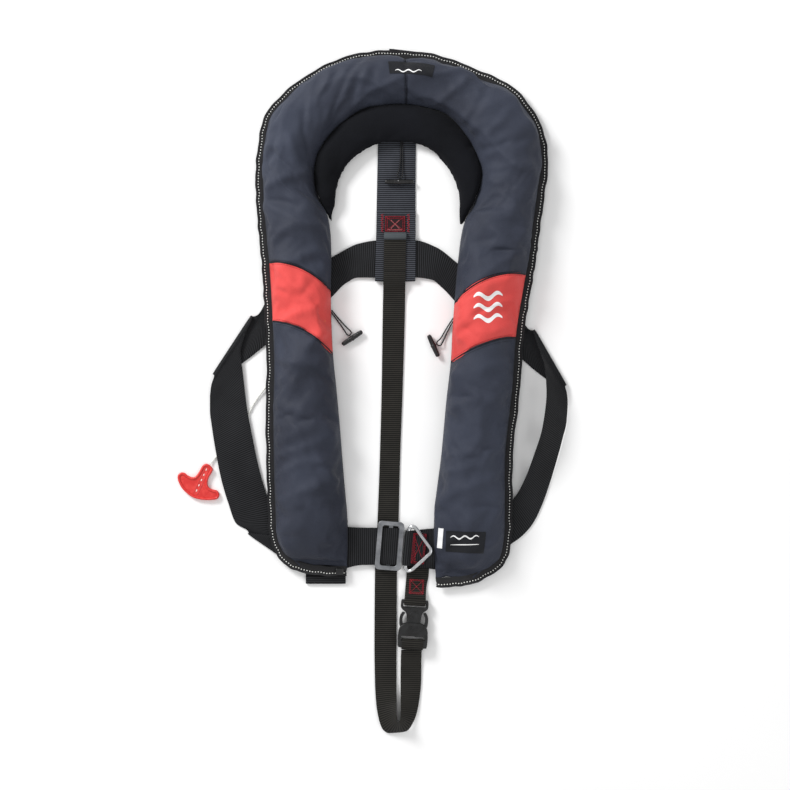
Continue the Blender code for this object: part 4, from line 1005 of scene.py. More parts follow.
def belt_right_rows():
    """The waist belt's right half, from the back strap round the side and about the D-ring's bar."""
    low = 1.15
    rows = [flat(26.6, 172.6, 26.6, 130, 3.1), flat(49, 172.6, 49, 130, 3.1), flat(73, 165, 68, 127.5, 2.7),
            flat(96, 148, 80, 118.5, low), flat(128, 122, 108, 89, low), flat(165, 93, 141, 64, low)]
    rows += fold((184.4, 69.5), (221.0, 5.5), (0.89, 0.46), low, 5.2)
    rows += [flat(192, 45, 223, -3, 10, 4.6), flat(197.2, 25, 224, -14, 18, 3.0),
             flat(198.4, -2, 223, -34, 24, 1.2), flat(194, -40, 218, -56, 25, low),
             flat(184, -74, 208, -92, 21, low), flat(173, -104, 196, -128, 12, low),
             flat(162, -124, 184, -153, 3.4, low), flat(146, -135, 168, -170, 2.6, 1.4),
             flat(124, -146, 136, -188, 2.7), flat(98, -154, 104, -199, 2.7),
             flat(76, -157.5, 78, -205.5, 2.7), flat(61, -158.8, 60, -203.5, 2.7)]
    for turn in range(-90, 91, 30):
        a = math.radians(turn)
        rows.append(beside_ring(-LOOP_R * math.cos(a), RING_Z + LOOP_R * math.sin(a)))
    return rows + [beside_ring(4, 8.3), beside_ring(9, 4.9), beside_ring(21, 4.7)]


def beside_ring(offset, z):
    """A station along the D-ring's bar, so far to its right, at height z."""
    middle = (RING_X, RING_Y)
    top = turned_place((RING_X + offset, RING_Y + LOOP_HALF), middle, RING_TURN)
    low = turned_place((RING_X + offset, RING_Y - LOOP_HALF), middle, RING_TURN)
    return flat(*top, *low, z)


def back_strap_rows():
    """The back strap, from the collar down and round the belt."""
    rows = [flat(8, 330, 52, 330, 0.95), flat(6.3, 281, 50, 281, 0.95), flat(5, 220, 49.5, 220, 0.95),
            flat(3.6, 150, 49.4, 150, 0.95), flat(3.1, 133, 49.3, 133, 1.02)]
    rows += fold((3, 128.3), (49.3, 128.3), (0, -1), 0.95, 5.4)
    return rows + [flat(3.6, 150, 49.4, 150, 5.4), flat(4.2, 174, 49.5, 174, 5.3),
                   flat(4.4, 184, 49.6, 184, 3.0), flat(5, 206, 49.6, 206, 2.9)]


def crotch_rows():
    """The crotch strap, from the back strap down, round its loop and up to the side-release buckle."""
    low, on_edge = 0.98, 2.0
    return [flat(13.5, 180, 38.8, 180, 7.2), flat(13, 150, 38.2, 150, 7.2), flat(12.7, 130, 38, 130, 7.2),
            flat(12.5, 122, 37.8, 122, 5.8), flat(12.3, 112, 37.6, 112, 2.4), flat(12, 98, 37.4, 98, 1.15),
            flat(10.5, 0, 34.6, 0, low), flat(8.4, -80, 31.7, -80, low), flat(5.8, -149, 30, -149, low),
            flat(2.9, -208, 28.2, -208, low), flat(2.3, -294, 27.6, -294, low),
            flat(2.9, -335, 27.6, -334, 1.1, 1.8), flat(4.2, -358, 27.8, -354, low + 0.3, 5),
            flat(7, -375, 27.7, -366, on_edge, 11), flat(11.5, -388, 27.8, -373, on_edge, 16),
            flat(18.5, -393, 28.5, -376.5, on_edge, 18.5), flat(28, -392.6, 30, -377.5, on_edge, 19.3),
            flat(38.5, -391, 31.5, -376.5, on_edge, 18.5), flat(46, -382, 32.6, -373, on_edge, 16),
            flat(51, -369, 32.7, -366, on_edge, 11), flat(54.2, -352, 32.3, -352, low + 0.3, 5),
            flat(56, -331, 32.3, -331, 1.2, 1.9), flat(56.2, -308, 32.6, -308, 2.6),
            flat(56.6, -297.5, 33, -297.5, 4.6)]


def make_webbing():
    """Every strap of the harness; returns those that are sewn through."""
    made = {}
    made["belt_left"] = webbing("belt_left_web", belt_left_rows(), "belt", ("waist_belt_left",))
    made["belt_right"] = webbing("belt_right_web", belt_right_rows(), "belt", ("waist_belt_right",))
    made["yoke"] = webbing("back_strap_web", back_strap_rows(), "yoke", ("back_strap",))
    made["crotch"] = webbing("crotch_strap_web", crotch_rows(), "strap", ("crotch_strap",), cols=7, body=None)
    rows = [flat(15, 338, 59, 338, 0.9), flat(18, 372, 62.5, 370, 0.9)]
    rows += fold((19.3, 391.8), (63.6, 386.6), (0.1, 1), 0.9, 3.0, steps=3)
    rows += [flat(18.5, 376, 62.8, 373, 3.0)]
    webbing("collar_loop_web", rows, "belt", ("collar_loop",), thick=1.3)
    rows = [flat(-77, -150, -31, -150, 0.9), flat(-77, -190, -31, -190, 0.9)]
    rows += fold((-76.5, -220.3), (-30.8, -220.3), (0, -1), 0.9, 3.0, steps=3)
    rows += [flat(-76.6, -213, -30.8, -213, 3.0)]
    webbing("keeper_left_web", rows, "belt", ("belt_keeper_left",), thick=1.3)
    webbing("keeper_right_web", [flat(88, -146, 128, -146, 0.9), flat(88, -213, 128, -213, 0.9)],
            "belt", ("belt_keeper_right",), thick=1.3)
    rows = [flat(40.5, -186, 66, -186, 0.9), flat(39, -212, 64.5, -212, 0.9), flat(37.8, -226, 62, -226, 1.2),
            flat(37.2, -233, 61.5, -234, 3.2), flat(36.9, -238.2, 61.2, -239.6, 4.6)]
    made["tab"] = webbing("crotch_tab_web", rows, "strap", ("crotch_tab",), thick=1.4, cols=7)
    return made


# ---------------------------------------------------------------- stitching

STITCH_SIDES = 6
# A stitch's shape: share along it, share of its radius
CAPSULE = ((0.0, 0.45), (0.12, 0.9), (0.5, 1.0), (0.88, 0.9), (1.0, 0.45))


def capsule(a, b, radius):
    """Points and faces of one raised stitch from a to b."""
    along = (b - a).normalized()
    verts = []
    for share, wide in CAPSULE:
        verts += circle(a.lerp(b, share), along, along.orthogonal(), radius * wide, STITCH_SIDES)[0]
    return verts, ring_faces(len(CAPSULE), STITCH_SIDES)


def stitches(name, lines, drop, material, slot, pitch, share=0.78, radius=0.28, sink=0.1):
    """Stitches along drawing polylines, laid on the surface below them."""
    verts, faces = [], []
    for line in lines:
        for start, end in zip(line, line[1:]):
            gap = Vector(end) - Vector(start)
            count = max(1, round(gap.length / pitch))
            for k in range(count):
                ends = []
                for s in ((k + 0.5 - share / 2) / count, (k + 0.5 + share / 2) / count):
                    p = Vector(start) + gap * s
                    ends.append(drop.at(p.x, p.y, radius - sink))
                new, links = capsule(ends[0], ends[1], radius * MM)
                faces += [tuple(i + len(verts) for i in f) for f in links]
                verts += new
    ob = new_object(name, verts, faces)
    outward(ob)
    finish_piece(ob, "jacket", slot, material)


def box_x(cx, cy, wide, tall, turn=0.0):
    """Lines of a box with a cross in it, about a drawing centre."""
    a = math.radians(turn)

    def spot(x, y):
        return (cx + x * math.cos(a) - y * math.sin(a), cy + x * math.sin(a) + y * math.cos(a))
    w, h = wide / 2, tall / 2
    corners = [spot(-w, -h), spot(w, -h), spot(w, h), spot(-w, h)]
    return [corners + [corners[0]], [corners[0], corners[2]], [corners[1], corners[3]]]


def zigzag(x0, x1, y0, y1, step):
    """A zigzag row of sewing up a column."""
    count = round(abs(y1 - y0) / step)
    return [(x0 if k % 2 else x1, y0 + (y1 - y0) * k / count) for k in range(count + 1)]


def make_back_tack(yoke):
    """The crotch strap's end sewn to the back strap, with the fold of webbing below it."""
    rows = [flat(14.0, 201, 38.0, 201, 4.5), flat(13.9, 192, 38.0, 192, 4.7),
            flat(13.8, 181.5, 38.2, 181.5, 5.0)]
    end = webbing("crotch_end_web", rows, "tack_web", (), thick=1.1, cols=7, height=0.15)
    rows = [flat(13.5, 181.4, 38.7, 181.4, 5.6), flat(13.4, 180.3, 38.8, 180.3, 8.4),
            flat(13.3, 178, 38.9, 178, 10.2), flat(13.2, 175.5, 38.8, 175.5, 10.2),
            flat(13.1, 173.5, 38.7, 173.5, 8.6)]
    webbing("crotch_fold_web", rows, "fold_web", (), thick=1.3, cols=7, height=0.05)
    drop = Drop(end, yoke)
    sides = [zigzag(9.6, 13.0, 182, 203, 1.5), zigzag(39.6, 43.0, 182, 203, 1.5)]
    stitches("bartack_sides", sides, drop, MATS["red_thread"], "webbing", pitch=2.6, share=0.9, radius=0.34)
    stitches("bartack_back", box_x(26, 191.5, 22, 17) + box_x(26, 191.5, 18, 13)[:1], drop,
             MATS["red_thread"], "webbing", pitch=1.9, share=0.85, radius=0.34)
    rows = [[(17, 184.4), (34, 184.4)], [(21, 196), (31, 186)], [(31, 196), (21, 186)]]
    stitches("bartack_cross", rows, drop, MATS["pink_thread"], "webbing", pitch=1.6, share=0.75, radius=0.36)


def make_stitching(webs):
    """Box stitching and bar tacks on the webbing."""
    make_back_tack(webs["yoke"])
    drop = Drop(webs["crotch"], webs["yoke"])
    rows = [[(13.5, y), (38.0, y)] for y in (134, 137.5)]
    stitches("strap_stitches", rows, drop, MATS["black_cord"], "webbing", pitch=2.2, radius=0.22)
    drop = Drop(webs["belt_right"])
    lines = box_x(53.0, -181.0, 14.5, 34, RING_TURN) + box_x(53.0, -181.0, 12, 31, RING_TURN)[:1]
    lines.append(zigzag(47, 49.5, -196, -166, 1.6))
    stitches("bartack_belt", lines, drop, MATS["red_thread"], "webbing", pitch=1.9, share=0.85, radius=0.36)
    drop = Drop(webs["tab"])
    stitches("bartack_tab", box_x(50.6, -225, 16, 16, -3) + box_x(50.6, -225, 13.5, 13.5, -3)[:1], drop,
             MATS["red_thread"], "webbing", pitch=1.9, share=0.85, radius=0.34)


# ---------------------------------------------------------------- metal and plastic hardware

TURNED_SIDES = 24


def turned(name, profile, start, axis, material, slot, replaces):
    """A turned solid: (distance along, radius) pairs in millimetres from a drawing point."""
    line = Vector(axis).normalized()
    verts = []
    for along, radius in profile:
        verts += circle(Vector(start) + line * along, line, line.orthogonal(), radius, TURNED_SIDES)[0]
    ob = new_object(name, [place(*p) for p in verts], ring_faces(len(profile), TURNED_SIDES))
    outward(ob)
    ob.data.set_sharp_from_angle(angle=SHARP)
    finish_piece(ob, "jacket", slot, material, replaces)


# The toggles' ends and the heights of their axes
TOGGLES = [
    ("toggle_left", (-34.7, 53), (-11.7, 68.2), 4.0), ("toggle_right", (64.5, 64.1), (75.6, 39.2), 4.0),
    ("toggle_back", (14.4, 239.8), (47.2, 239.8), 5.6),
]


def make_toggles():
    """Barrel toggles: ribbed, with a raised ring round the cord's hole."""
    for name, start, end, high in TOGGLES:
        a, b = Vector((*start, high)), Vector((*end, high))
        length = (b - a).length
        profile = [(0, 0.4), (0.05, 1.4), (0.5, 2.0), (1.2, 2.3)]
        for k in range(41):
            s = 0.06 + 0.88 * k / 40
            radius = 2.35 + 0.55 * math.sin(math.pi * s) + 0.6 * math.exp(-((s - 0.5) / 0.035) ** 2)
            radius += 0.16 * max(0, math.sin(s * 2 * math.pi * 9)) * (1 if abs(s - 0.5) > 0.09 else 0)
            profile.append((length * s, radius))
        profile += [(length - 1.2, 2.3), (length - 0.5, 2.0), (length - 0.05, 1.4), (length, 0.4)]
        turned(name + "_barrel", profile, a, b - a, MATS["plastic"], "black_plastic", (name,))


RING_COUNT, RING_SIDES = 200, 16


def evened(route, count):
    """Points at even steps along a closed line, softened at its corners."""
    loop = route + route[:1]
    run = [0.0]
    for a, b in zip(loop, loop[1:]):
        run.append(run[-1] + (Vector(b) - Vector(a)).length)
    line = [Vector([np.interp(run[-1] * k / count, run, [p[i] for p in loop]) for i in range(3)])
            for k in range(count)]
    for _ in range(6):
        line = [(line[k - 1] + line[k] * 2 + line[(k + 1) % count]) / 4 for k in range(count)]
    return line


def closed_wire(name, points, radius, sides, up):
    """A round wire along a closed line of drawing points."""
    count, verts = len(points), []
    for k in range(count):
        along = (Vector(points[(k + 1) % count]) - Vector(points[k - 1])).normalized()
        verts += circle(Vector(points[k]), along, up(along), radius, sides)[0]
    ob = new_object(name, [place(*p) for p in verts], loop_faces(count, sides))
    outward(ob)
    return ob


def make_d_ring():
    """The D-ring: a round steel wire, leaning on the belt."""
    lean = math.radians(RING_LEAN)
    route = []
    for x, y in RING_LINE:
        spot = turned_place((RING_X + x * math.cos(lean), RING_Y + y), (RING_X, RING_Y), RING_TURN)
        route.append((*spot, RING_Z + x * math.sin(lean)))
    wire = closed_wire("d_ring_wire", evened(route, RING_COUNT), RING_WIRE, RING_SIDES,
                       lambda along: along.cross(Vector((-0.22, 0, 0.97))))
    finish_piece(wire, "ring", "polished_steel", MATS["steel"], ("d_ring",))


def keep_cad(name, material):
    """A CAD node that stays, with its finish."""
    ob = frame["nodes"][name]
    if not ob.data.materials:
        ob.data.materials.append(material)
    for k in range(len(ob.data.materials)):
        ob.data.materials[k] = material


def rounded(half_x, half_y, radius, steps=8):
    """A closed rectangle with round corners, about its middle."""
    points = []
    for corner, (sx, sy) in enumerate(((1, 1), (-1, 1), (-1, -1), (1, -1))):
        for k in range(steps + 1):
            a = math.radians(90 * corner + 90 * k / steps)
            points.append((sx * (half_x - radius) + radius * math.cos(a),
                           sy * (half_y - radius) + radius * math.sin(a)))
    return points


def turned_place(p, centre, turn):
    """A drawing place turned about a centre, in degrees."""
    a = math.radians(turn)
    x, y = p[0] - centre[0], p[1] - centre[1]
    return (centre[0] + x * math.cos(a) - y * math.sin(a), centre[1] + x * math.sin(a) + y * math.cos(a))


def plate(name, outlines, low, high, bevel, centre=(0, 0), turn=0.0):
    """A flat plate from closed outlines, later ones being holes, with rounded edges."""
    data = bpy.data.curves.new(name, "CURVE")
    data.dimensions = "2D"
    data.fill_mode = "BOTH"
    data.extrude = ((high - low) / 2 - bevel) * MM
    data.bevel_depth = bevel * MM
    data.offset = -bevel * MM
    data.bevel_resolution = 3
    for outline in outlines:
        spot = data.splines.new("POLY")
        spot.points.add(len(outline) - 1)
        for point, (x, y) in zip(spot.points, outline):
            px, py = turned_place((x + centre[0], y + centre[1]), centre, turn)
            point.co = ((px + SHIFT[0]) * MM, (py + SHIFT[1]) * MM, 0, 1)
        spot.use_cyclic_u = True
    holder = bpy.data.objects.new(name, data)
    holder.location.z = ((low + high) / 2 + SHIFT[2]) * MM
    bpy.context.scene.collection.objects.link(holder)
    bpy.context.view_layer.update()
    graph = bpy.context.evaluated_depsgraph_get()
    mesh = bpy.data.meshes.new_from_object(holder.evaluated_get(graph))
    mesh.transform(holder.matrix_world)
    bpy.data.objects.remove(holder)
    ob = bpy.data.objects.new(name, mesh)
    bpy.context.scene.collection.objects.link(ob)
    work = bmesh.new()
    work.from_mesh(mesh)
    bmesh.ops.remove_doubles(work, verts=work.verts, dist=0.000004)
    bmesh.ops.recalc_face_normals(work, faces=work.faces)
    work.to_mesh(mesh)
    work.free()
    mesh.shade_smooth()
    mesh.set_sharp_from_angle(angle=EDGE_ANGLE)
    return ob


def joined(obs, name, body, slot, material, replaces=()):
    """Several meshes as one piece."""
    work = bmesh.new()
    for ob in obs:
        ob.data.transform(ob.matrix_world)
        work.from_mesh(ob.data)
        bpy.data.objects.remove(ob, do_unlink=True)
    mesh = bpy.data.meshes.new(name)
    work.to_mesh(mesh)
    work.free()
    made = bpy.data.objects.new(name, mesh)
    bpy.context.scene.collection.objects.link(made)
    mesh.shade_smooth()
    mesh.set_sharp_from_angle(angle=EDGE_ANGLE)
    return finish_piece(made, body, slot, material, replaces)


def block(low, high, bevel, segments, centre, turn):
    """A loose mesh box between two drawing corners with rounded edges, turned about a centre."""
    work = bmesh.new()
    bmesh.ops.create_cube(work, size=1.0)
    for v in work.verts:
        v.co = Vector([v.co[i] * (b - a) + (a + b) / 2 for i, (a, b) in enumerate(zip(low, high))])
    bmesh.ops.bevel(work, geom=work.edges[:], offset=bevel, segments=segments, affect="EDGES", profile=0.5)
    for v in work.verts:
        v.co = place(*turned_place(v.co, centre, turn), v.co.z)
    mesh = bpy.data.meshes.new("block")
    work.to_mesh(mesh)
    work.free()
    ob = bpy.data.objects.new("block", mesh)
    bpy.context.scene.collection.objects.link(ob)
    return ob


SLIDE_CENTRE, SLIDE_TURN = (19.6, -177.7), -4.7
CLIP_CENTRE, CLIP_TURN = (47.5, -262.0), -3.4


def make_slide_buckle():
    """The steel slide buckle: a flat frame, the bar under it and the posts that join them."""
    loose = (SLIDE_CENTRE, SLIDE_TURN)
    x, y = SLIDE_CENTRE
    frame_plate = plate("slide_frame", [rounded(15.2, 28.0, 5), rounded(9.6, 23.0, 3)], 5.7, 7.9, 0.7, *loose)
    bar = block((x - 2.4, y - 26.4, 2.0), (x + 2.4, y + 26.4, 3.5), 0.6, 3, *loose)
    posts = [block((x - 2.4, at - 1.4, 2.3), (x + 2.4, at + 1.4, 7.0), 0.4, 2, *loose)
             for at in (y - 25.2, y + 25.2)]
    joined([frame_plate, bar] + posts, "slide_buckle_frame", "slide_buckle", "matt_steel", MATS["matt"],
           ("belt_slide_buckle",))


def make_hardware():
    make_toggles()
    make_d_ring()
    make_slide_buckle()


KEPT = {
    "zip_slider": "plastic",
    "inflator_body": "grey_plastic", "inflator_lever": "yellow_plastic", "lever_pin": "matt",
    "gas_cylinder": "matt", "firing_pin": "brass", "firing_spring": "steel", "auto_cap": "yellow_plastic",
    "auto_cartridge": "green_plastic", "oral_tube": "rubber", "oral_valve": "grey_plastic",
    "oral_cap": "yellow_plastic", "whistle": "yellow_plastic", "lifting_loop": "belt",
}


PAD_ROWS = 96
PAD_CROWN = 18.5       # the pad's greatest height before it swells
PAD_UNDER = 1.2        # how far the pad goes in under the cover


def make_neck_pad():
    """The soft pad round the neck: closed foam form, swollen as cloth."""
    rings = []
    for k in range(PAD_ROWS + 1):
        s = (len(PAD_INNER) - 1) * k / PAD_ROWS
        inner = Vector(spline(PAD_INNER, s))
        outer = Vector(spline(STATIONS, s + PAD_FIRST)[:2])
        across = outer - inner
        outer = outer + across.normalized() * PAD_UNDER
        wide = (outer - inner).length
        crown = min(PAD_CROWN, PANEL_Z + 0.5 + wide * 0.6)
        ring = []
        for j in range(11):
            u = 0.5 * (1 - math.cos(math.pi * j / 10))
            spot = inner.lerp(outer, u)
            ring.append(place(spot.x, spot.y, PANEL_Z + 2 + (crown - PANEL_Z - 2) * swell(u)))
        for u in (1.0, 0.66, 0.33, 0.0):
            spot = inner.lerp(outer, u)
            ring.append(place(spot.x, spot.y, PANEL_Z + 0.3))
        rings.append(ring)
    ob = new_object("neck_pad_foam", [p for ring in rings for p in ring], ring_faces(PAD_ROWS + 1, 15))
    outward(ob)
    modify(ob, "REMESH", mode="VOXEL", voxel_size=0.0034, use_smooth_shade=True)
    modify(ob, "SMOOTH", factor=0.5, iterations=8)
    apply_modifiers(ob)
    floor = [v.index for v in ob.data.vertices if v.co.z < 0.0062]
    simulate_sheet(ob, floor, 4.0, 0.02, 16, 0.0035)
    modify(ob, "SUBSURF", levels=1, render_levels=1)
    apply_modifiers(ob)
    ob.data.shade_smooth()
    finish_piece(ob, "jacket", "pad_cloth", MATS["pad"], ("neck_pad",))


# ---------------------------------------------------------------- folded bladder

# Lengths of the bladder: name, first and last station
BLADDER = [("left", 0.45, 10.5), ("collar", 10.55, 25.45), ("right", 25.5, 34.55)]
# Stations of the inflator's bay and the oral tube's
BAYS = ((2.6, 7.6), (27.6, 31.6))
BLADDER_SINK = 17.0        # how much lower than the cover the bladder's top is
BLADDER_ROWS = 9           # rows of its mesh to each station


def bladder_share(t):
    """How much of the lobe's width the bladder fills: less in the bays of the inflator and oral tube."""
    share = 0.84
    for first, last in BAYS:
        inside = smooth_step((t - first + 0.15) / 0.3) * smooth_step((last - t + 0.15) / 0.3)
        share -= 0.5 * inside
    return share


def make_bladders():
    """The bladder folded in layers under the cover, with welded edges."""
    for word, first, last in BLADDER:
        rings = []
        count = round((last - first) * BLADDER_ROWS)
        for k in range(count + 1):
            t = first + (last - first) * k / count
            share = bladder_share(t)
            taper = 0.35 + 0.65 * smooth_step(min(k, count - k) / 2.5)
            ring = []
            for j in range(17):
                s = j / 16
                x, y, z = cover_point(t, 0.1 + (share - 0.1) * s, BLADDER_SINK)
                layers = 0.9 * abs(math.sin(3.0 * math.pi * s)) * math.sin(math.pi * s)
                crumple = 0.7 * noise.noise(Vector((x * 0.06, y * 0.06, 3.0)))
                ring.append(place(x, y, 7.2 + max(z - 8.4 + layers + crumple, 1.0) * taper))
            for s in (1.0, 0.5, 0.0):
                x, y, _ = cover_point(t, 0.1 + (share - 0.1) * s)
                ring.append(place(x, y, 6.5))
            rings.append(ring)
        ob = new_object("bladder_%s_fold" % word, [p for ring in rings for p in ring],
                        ring_faces(len(rings), 20))
        outward(ob)
        modify(ob, "SUBSURF", levels=1, render_levels=1)
        apply_modifiers(ob)
        finish_piece(ob, "jacket", "bladder_cloth", MATS["bladder"], ("bladder_" + word,))


# ---------------------------------------------------------------- seams, labels and print

PIPING_SIDES = 8


def tube_along(name, spots, radius, material, slot):
    """A round cord through frame points."""
    verts, side = [], Vector((0, 0, 1))
    for k, spot in enumerate(spots):
        along = (spots[min(k + 1, len(spots) - 1)] - spots[max(k - 1, 0)]).normalized()
        ring, side = circle(spot, along, side, radius * MM, PIPING_SIDES)
        verts += ring
    ob = new_object(name, verts, ring_faces(len(spots), PIPING_SIDES))
    outward(ob)
    finish_piece(ob, "jacket", slot, material)


def seam_line(drop, station, first, last, count, lift):
    """Frame points on the cover along a row of the outline."""
    line = []
    for k in range(count + 1):
        x, y, _ = cover_point(station, first + (last - first) * k / count)
        line.append(drop.at(x, y, lift))
    return line


# Piping: name, station and radius
PIPING = [("chest_left_low", 7, 0.85), ("chest_left_high", 9, 0.85), ("chest_right_high", 27, 0.85),
          ("chest_right_low", 29, 0.85), ("collar", 18, 0.45)]
TOPSTITCHING = [("topstitching", (6.93, 9.07, 17.94, 18.06, 26.93, 29.07), "navy"),
                ("chest_stitching", (7.07, 8.93, 27.07, 28.93), "red")]


def make_seams(drop):
    """Piping round the red panels, the collar's middle seam and rows of topstitching."""
    for word, station, radius in PIPING:
        tube_along("piping_" + word, seam_line(drop, station, 0.015, 0.985, 90, 0.1), radius,
                   MATS["navy_thread"], "navy_cloth")
    for name, stations, colour in TOPSTITCHING:
        rows = [[cover_point(station, 0.05 + 0.9 * k / 40)[:2] for k in range(41)] for station in stations]
        stitches(name, rows, drop, MATS[colour + "_thread"], colour + "_cloth", pitch=2.6, radius=0.2,
                 sink=0.06)


def patch(name, spot, across, down, drop, lift, thick, finish, replaces=()):
    """A thin patch laid on the cover: spot(i share, j share) gives its drawing x, y."""
    verts, uvs = [], []
    for j in range(down + 1):
        for i in range(across + 1):
            x, y = spot(i / across, j / down)
            verts.append(drop.at(x, y, lift))
            uvs.append((x * MM, y * MM))
    ob = new_object(name, verts, grid_faces(down + 1, across + 1), uvs)
    face_up(ob)
    modify(ob, "SOLIDIFY", thickness=thick * MM, offset=1.0)
    apply_modifiers(ob)
    ob.data.set_sharp_from_angle(angle=SHARP)
    finish_piece(ob, "jacket", "label_cloth", MATS[finish], replaces)


def station_patch(t0, t1, u0, u1):
    """Drawing place on a patch of the cover between two stations and two shares of the width."""
    return lambda i, j: cover_point(t0 + (t1 - t0) * j, u0 + (u1 - u0) * i)[:2]


def wave_strip(cx, cy, wide, swing, turns, stroke, turn):
    """Drawing place on a wavy stroke: i runs along it, j across it."""
    def spot(i, j):
        x = (i - 0.5) * wide
        taper = math.sin(math.pi * min(max(i, 0.02), 0.98)) ** 0.35
        y = swing * math.sin(2 * math.pi * turns * i) + (j - 0.5) * stroke * taper
        return turned_place((cx + x, cy + y), (cx, cy), turn)
    return spot


def bar_strip(cx, cy, wide, tall, turn):
    """Drawing place on a plain bar."""
    return lambda i, j: turned_place((cx + (i - 0.5) * wide, cy + (j - 0.5) * tall), (cx, cy), turn)


CHEST_WAVES = (107, 94.5, 82)          # places of the chest's three waves up the jacket
# Print on the labels: its stroke as wave_strip takes it, and its mesh's columns and rows
LABEL_PRINT = [
    ("collar_label_wave", (41, 362.5, 30, 1.3, 2.5, 1.5, -2), 60, 3),
    ("lobe_label_wave", (105, -166, 32, 1.7, 2.5, 1.9, 2), 60, 3),
    ("lobe_label_line", (105, -174.5, 32, 0.0, 1, 1.1, 2), 40, 2),
]


def make_labels(drop):
    """Plain woven labels and a generic wave print, without lettering."""
    patch("collar_label_patch", station_patch(17.4, 19.0, 0.60, 0.86), 12, 30, drop, 0.15, 0.45, "label",
          ("collar_label",))
    patch("lobe_label_patch", station_patch(32.8, 33.6, 0.17, 0.72), 30, 16, drop, 0.15, 0.45, "label",
          ("lobe_label",))
    on_labels = Drop(*[bpy.data.objects[n] for n in ("collar_label_patch", "lobe_label_patch")])
    for name, strip, across, down in LABEL_PRINT:
        patch(name, wave_strip(*strip), across, down, on_labels, 0.05, 0.15, "white")
    patch("lobe_side_tab", bar_strip(77.6, -168, 23, 5.5, 86), 20, 6, drop, 0.1, 0.3, "white")
    for k, y in enumerate(CHEST_WAVES):
        patch("chest_wave_%d" % (k + 1), wave_strip(131, y, 33, 3.0, 1.5, 5.4, 4), 60, 6, drop, 0.06, 0.12,
              "white")


# ---------------------------------------------------------------- pull handle and side-release buckle

HANDLE_LINE = [
    (2.1, -6.3), (-0.9, -5.3), (-3.0, -2.8), (-3.1, 1.1), (-1.1, 5.5), (1.2, 6.9), (6.0, 6.5), (11.3, 6.1),
    (16.4, 7.5), (19.5, 9.6), (21.0, 13.0), (20.6, 17.3), (19.9, 21.2), (21.8, 24.5), (25.1, 26.1),
    (29.0, 25.0), (32.2, 20.3), (35.4, 13.8), (38.0, 5.7), (38.7, -2.0), (37.1, -9.7), (34.5, -16.6),
    (29.9, -22.8),
    (25.3, -26.4), (21.6, -27.0), (18.2, -24.9), (17.2, -21.3), (18.1, -17.3), (18.3, -12.5), (16.6, -9.1),
    (13.0, -7.5), (7.4, -6.7),
]
STEM, STEM_END = Vector((-189.2, -87.7)), Vector((-204.1, -119.9))


def smooth_outline(points, per_point=5):
    """A closed outline made smooth through its points."""
    ring = [tuple(p) for p in points]
    count = len(ring)
    wrapped = ring[-2:] + ring + ring[:3]
    return [spline(wrapped, 2 + k / per_point) for k in range(count * per_point)]


def inset(points, gap):
    """The closed outline moved inward by a gap."""
    count = len(points)
    area = sum(points[k - 1][0] * points[k][1] - points[k][0] * points[k - 1][1] for k in range(count))
    out = []
    for k in range(count):
        ahead, behind = points[(k + 1) % count], points[k - 1]
        along = Vector((ahead[0] - behind[0], ahead[1] - behind[1])).normalized()
        side = Vector((-along.y, along.x)) * (1 if area > 0 else -1)
        out.append((points[k][0] + side.x * gap, points[k][1] + side.y * gap))
    return out


def handle_wire(points, radius, sides):
    return closed_wire("handle_wire", points, radius, sides, lambda along: Vector((0, 0, 1)))


def make_handle():
    """Moulded crescent handle: solid web with pale pads painted down its stem in place of holes that show the
    lit floor, raised rim and two rails.
    """
    along = (STEM_END - STEM).normalized()
    side = Vector((-along.y, along.x))

    def spot(a, b):
        p = STEM + along * a + side * b
        return (p.x, p.y)
    outline = smooth_outline([spot(a, b) for a, b in HANDLE_LINE], 3)
    web = plate("handle_web", [outline], 0.2, 3.6, 0.6)
    # Pale pads down the stem, painted in place of holes through which the lit floor would show.
    marks = []
    for k in range(5):
        a = 3.2 + 6.6 * k
        pad = [spot(a + 1.5 * math.cos(q), 0.7 * math.sin(q) - 0.25)
               for q in [2 * math.pi * j / 12 for j in range(12)]]
        marks.append(plate("handle_mark", [pad], 3.4, 4.1, 0.2))
    joined(marks, "handle_marks", "handle", "red_plastic", MATS["painted_hole_light"])
    rim = handle_wire([(x, y, 3.5) for x, y in inset(outline, 1.5)], 1.5, 10)
    rails = []
    for off in (-2.6, 2.1):
        out = [(*spot(0.5 + 33 * j / 40, off + 0.45), 3.6) for j in range(41)]
        back = [(*spot(0.5 + 33 * (40 - j) / 40, off - 0.45), 3.6) for j in range(41)]
        rails.append(handle_wire(out + back, 0.55, 6))
    joined([web, rim] + rails, "handle_grip", "handle", "red_plastic", MATS["red_plastic"], ("pull_handle",))


def clip_spot(x, y):
    """A place on the side-release buckle as a drawing place."""
    return turned_place((CLIP_CENTRE[0] + x, CLIP_CENTRE[1] + y), CLIP_CENTRE, CLIP_TURN)


def mirrored(points):
    return points + [(-x, y) for x, y in reversed(points) if x]


# Outlines of the side-release buckle about its own middle; the male and female ones are right halves
MALE = [
    (0, 22.2), (13.2, 22.2), (15.3, 21.2), (15.8, 18), (15.6, 13.4), (13.6, 10.6), (10.0, 8.0), (8.5, 3.5),
    (8.2, -2), (7.8, -8), (6.6, -11.2), (5.0, -12), (0, -12),
]
PRONG = [
    (10.4, 7.0), (13.4, 7.7), (15.8, 4.0), (16.6, -1.0), (16.3, -6.0), (14.8, -10.0), (11.8, -12.8),
    (9.9, -12.4), (11.6, -7.5), (12.9, -2.0), (12.5, 2.4), (11.2, 5.2),
]
SHELL = [
    (0, -4.0), (8.5, -4.6), (13.4, -7.2), (16.0, -11.5), (17.0, -17), (17.0, -26), (16.4, -31.4),
    (14.0, -32.5), (0, -32.6),
]
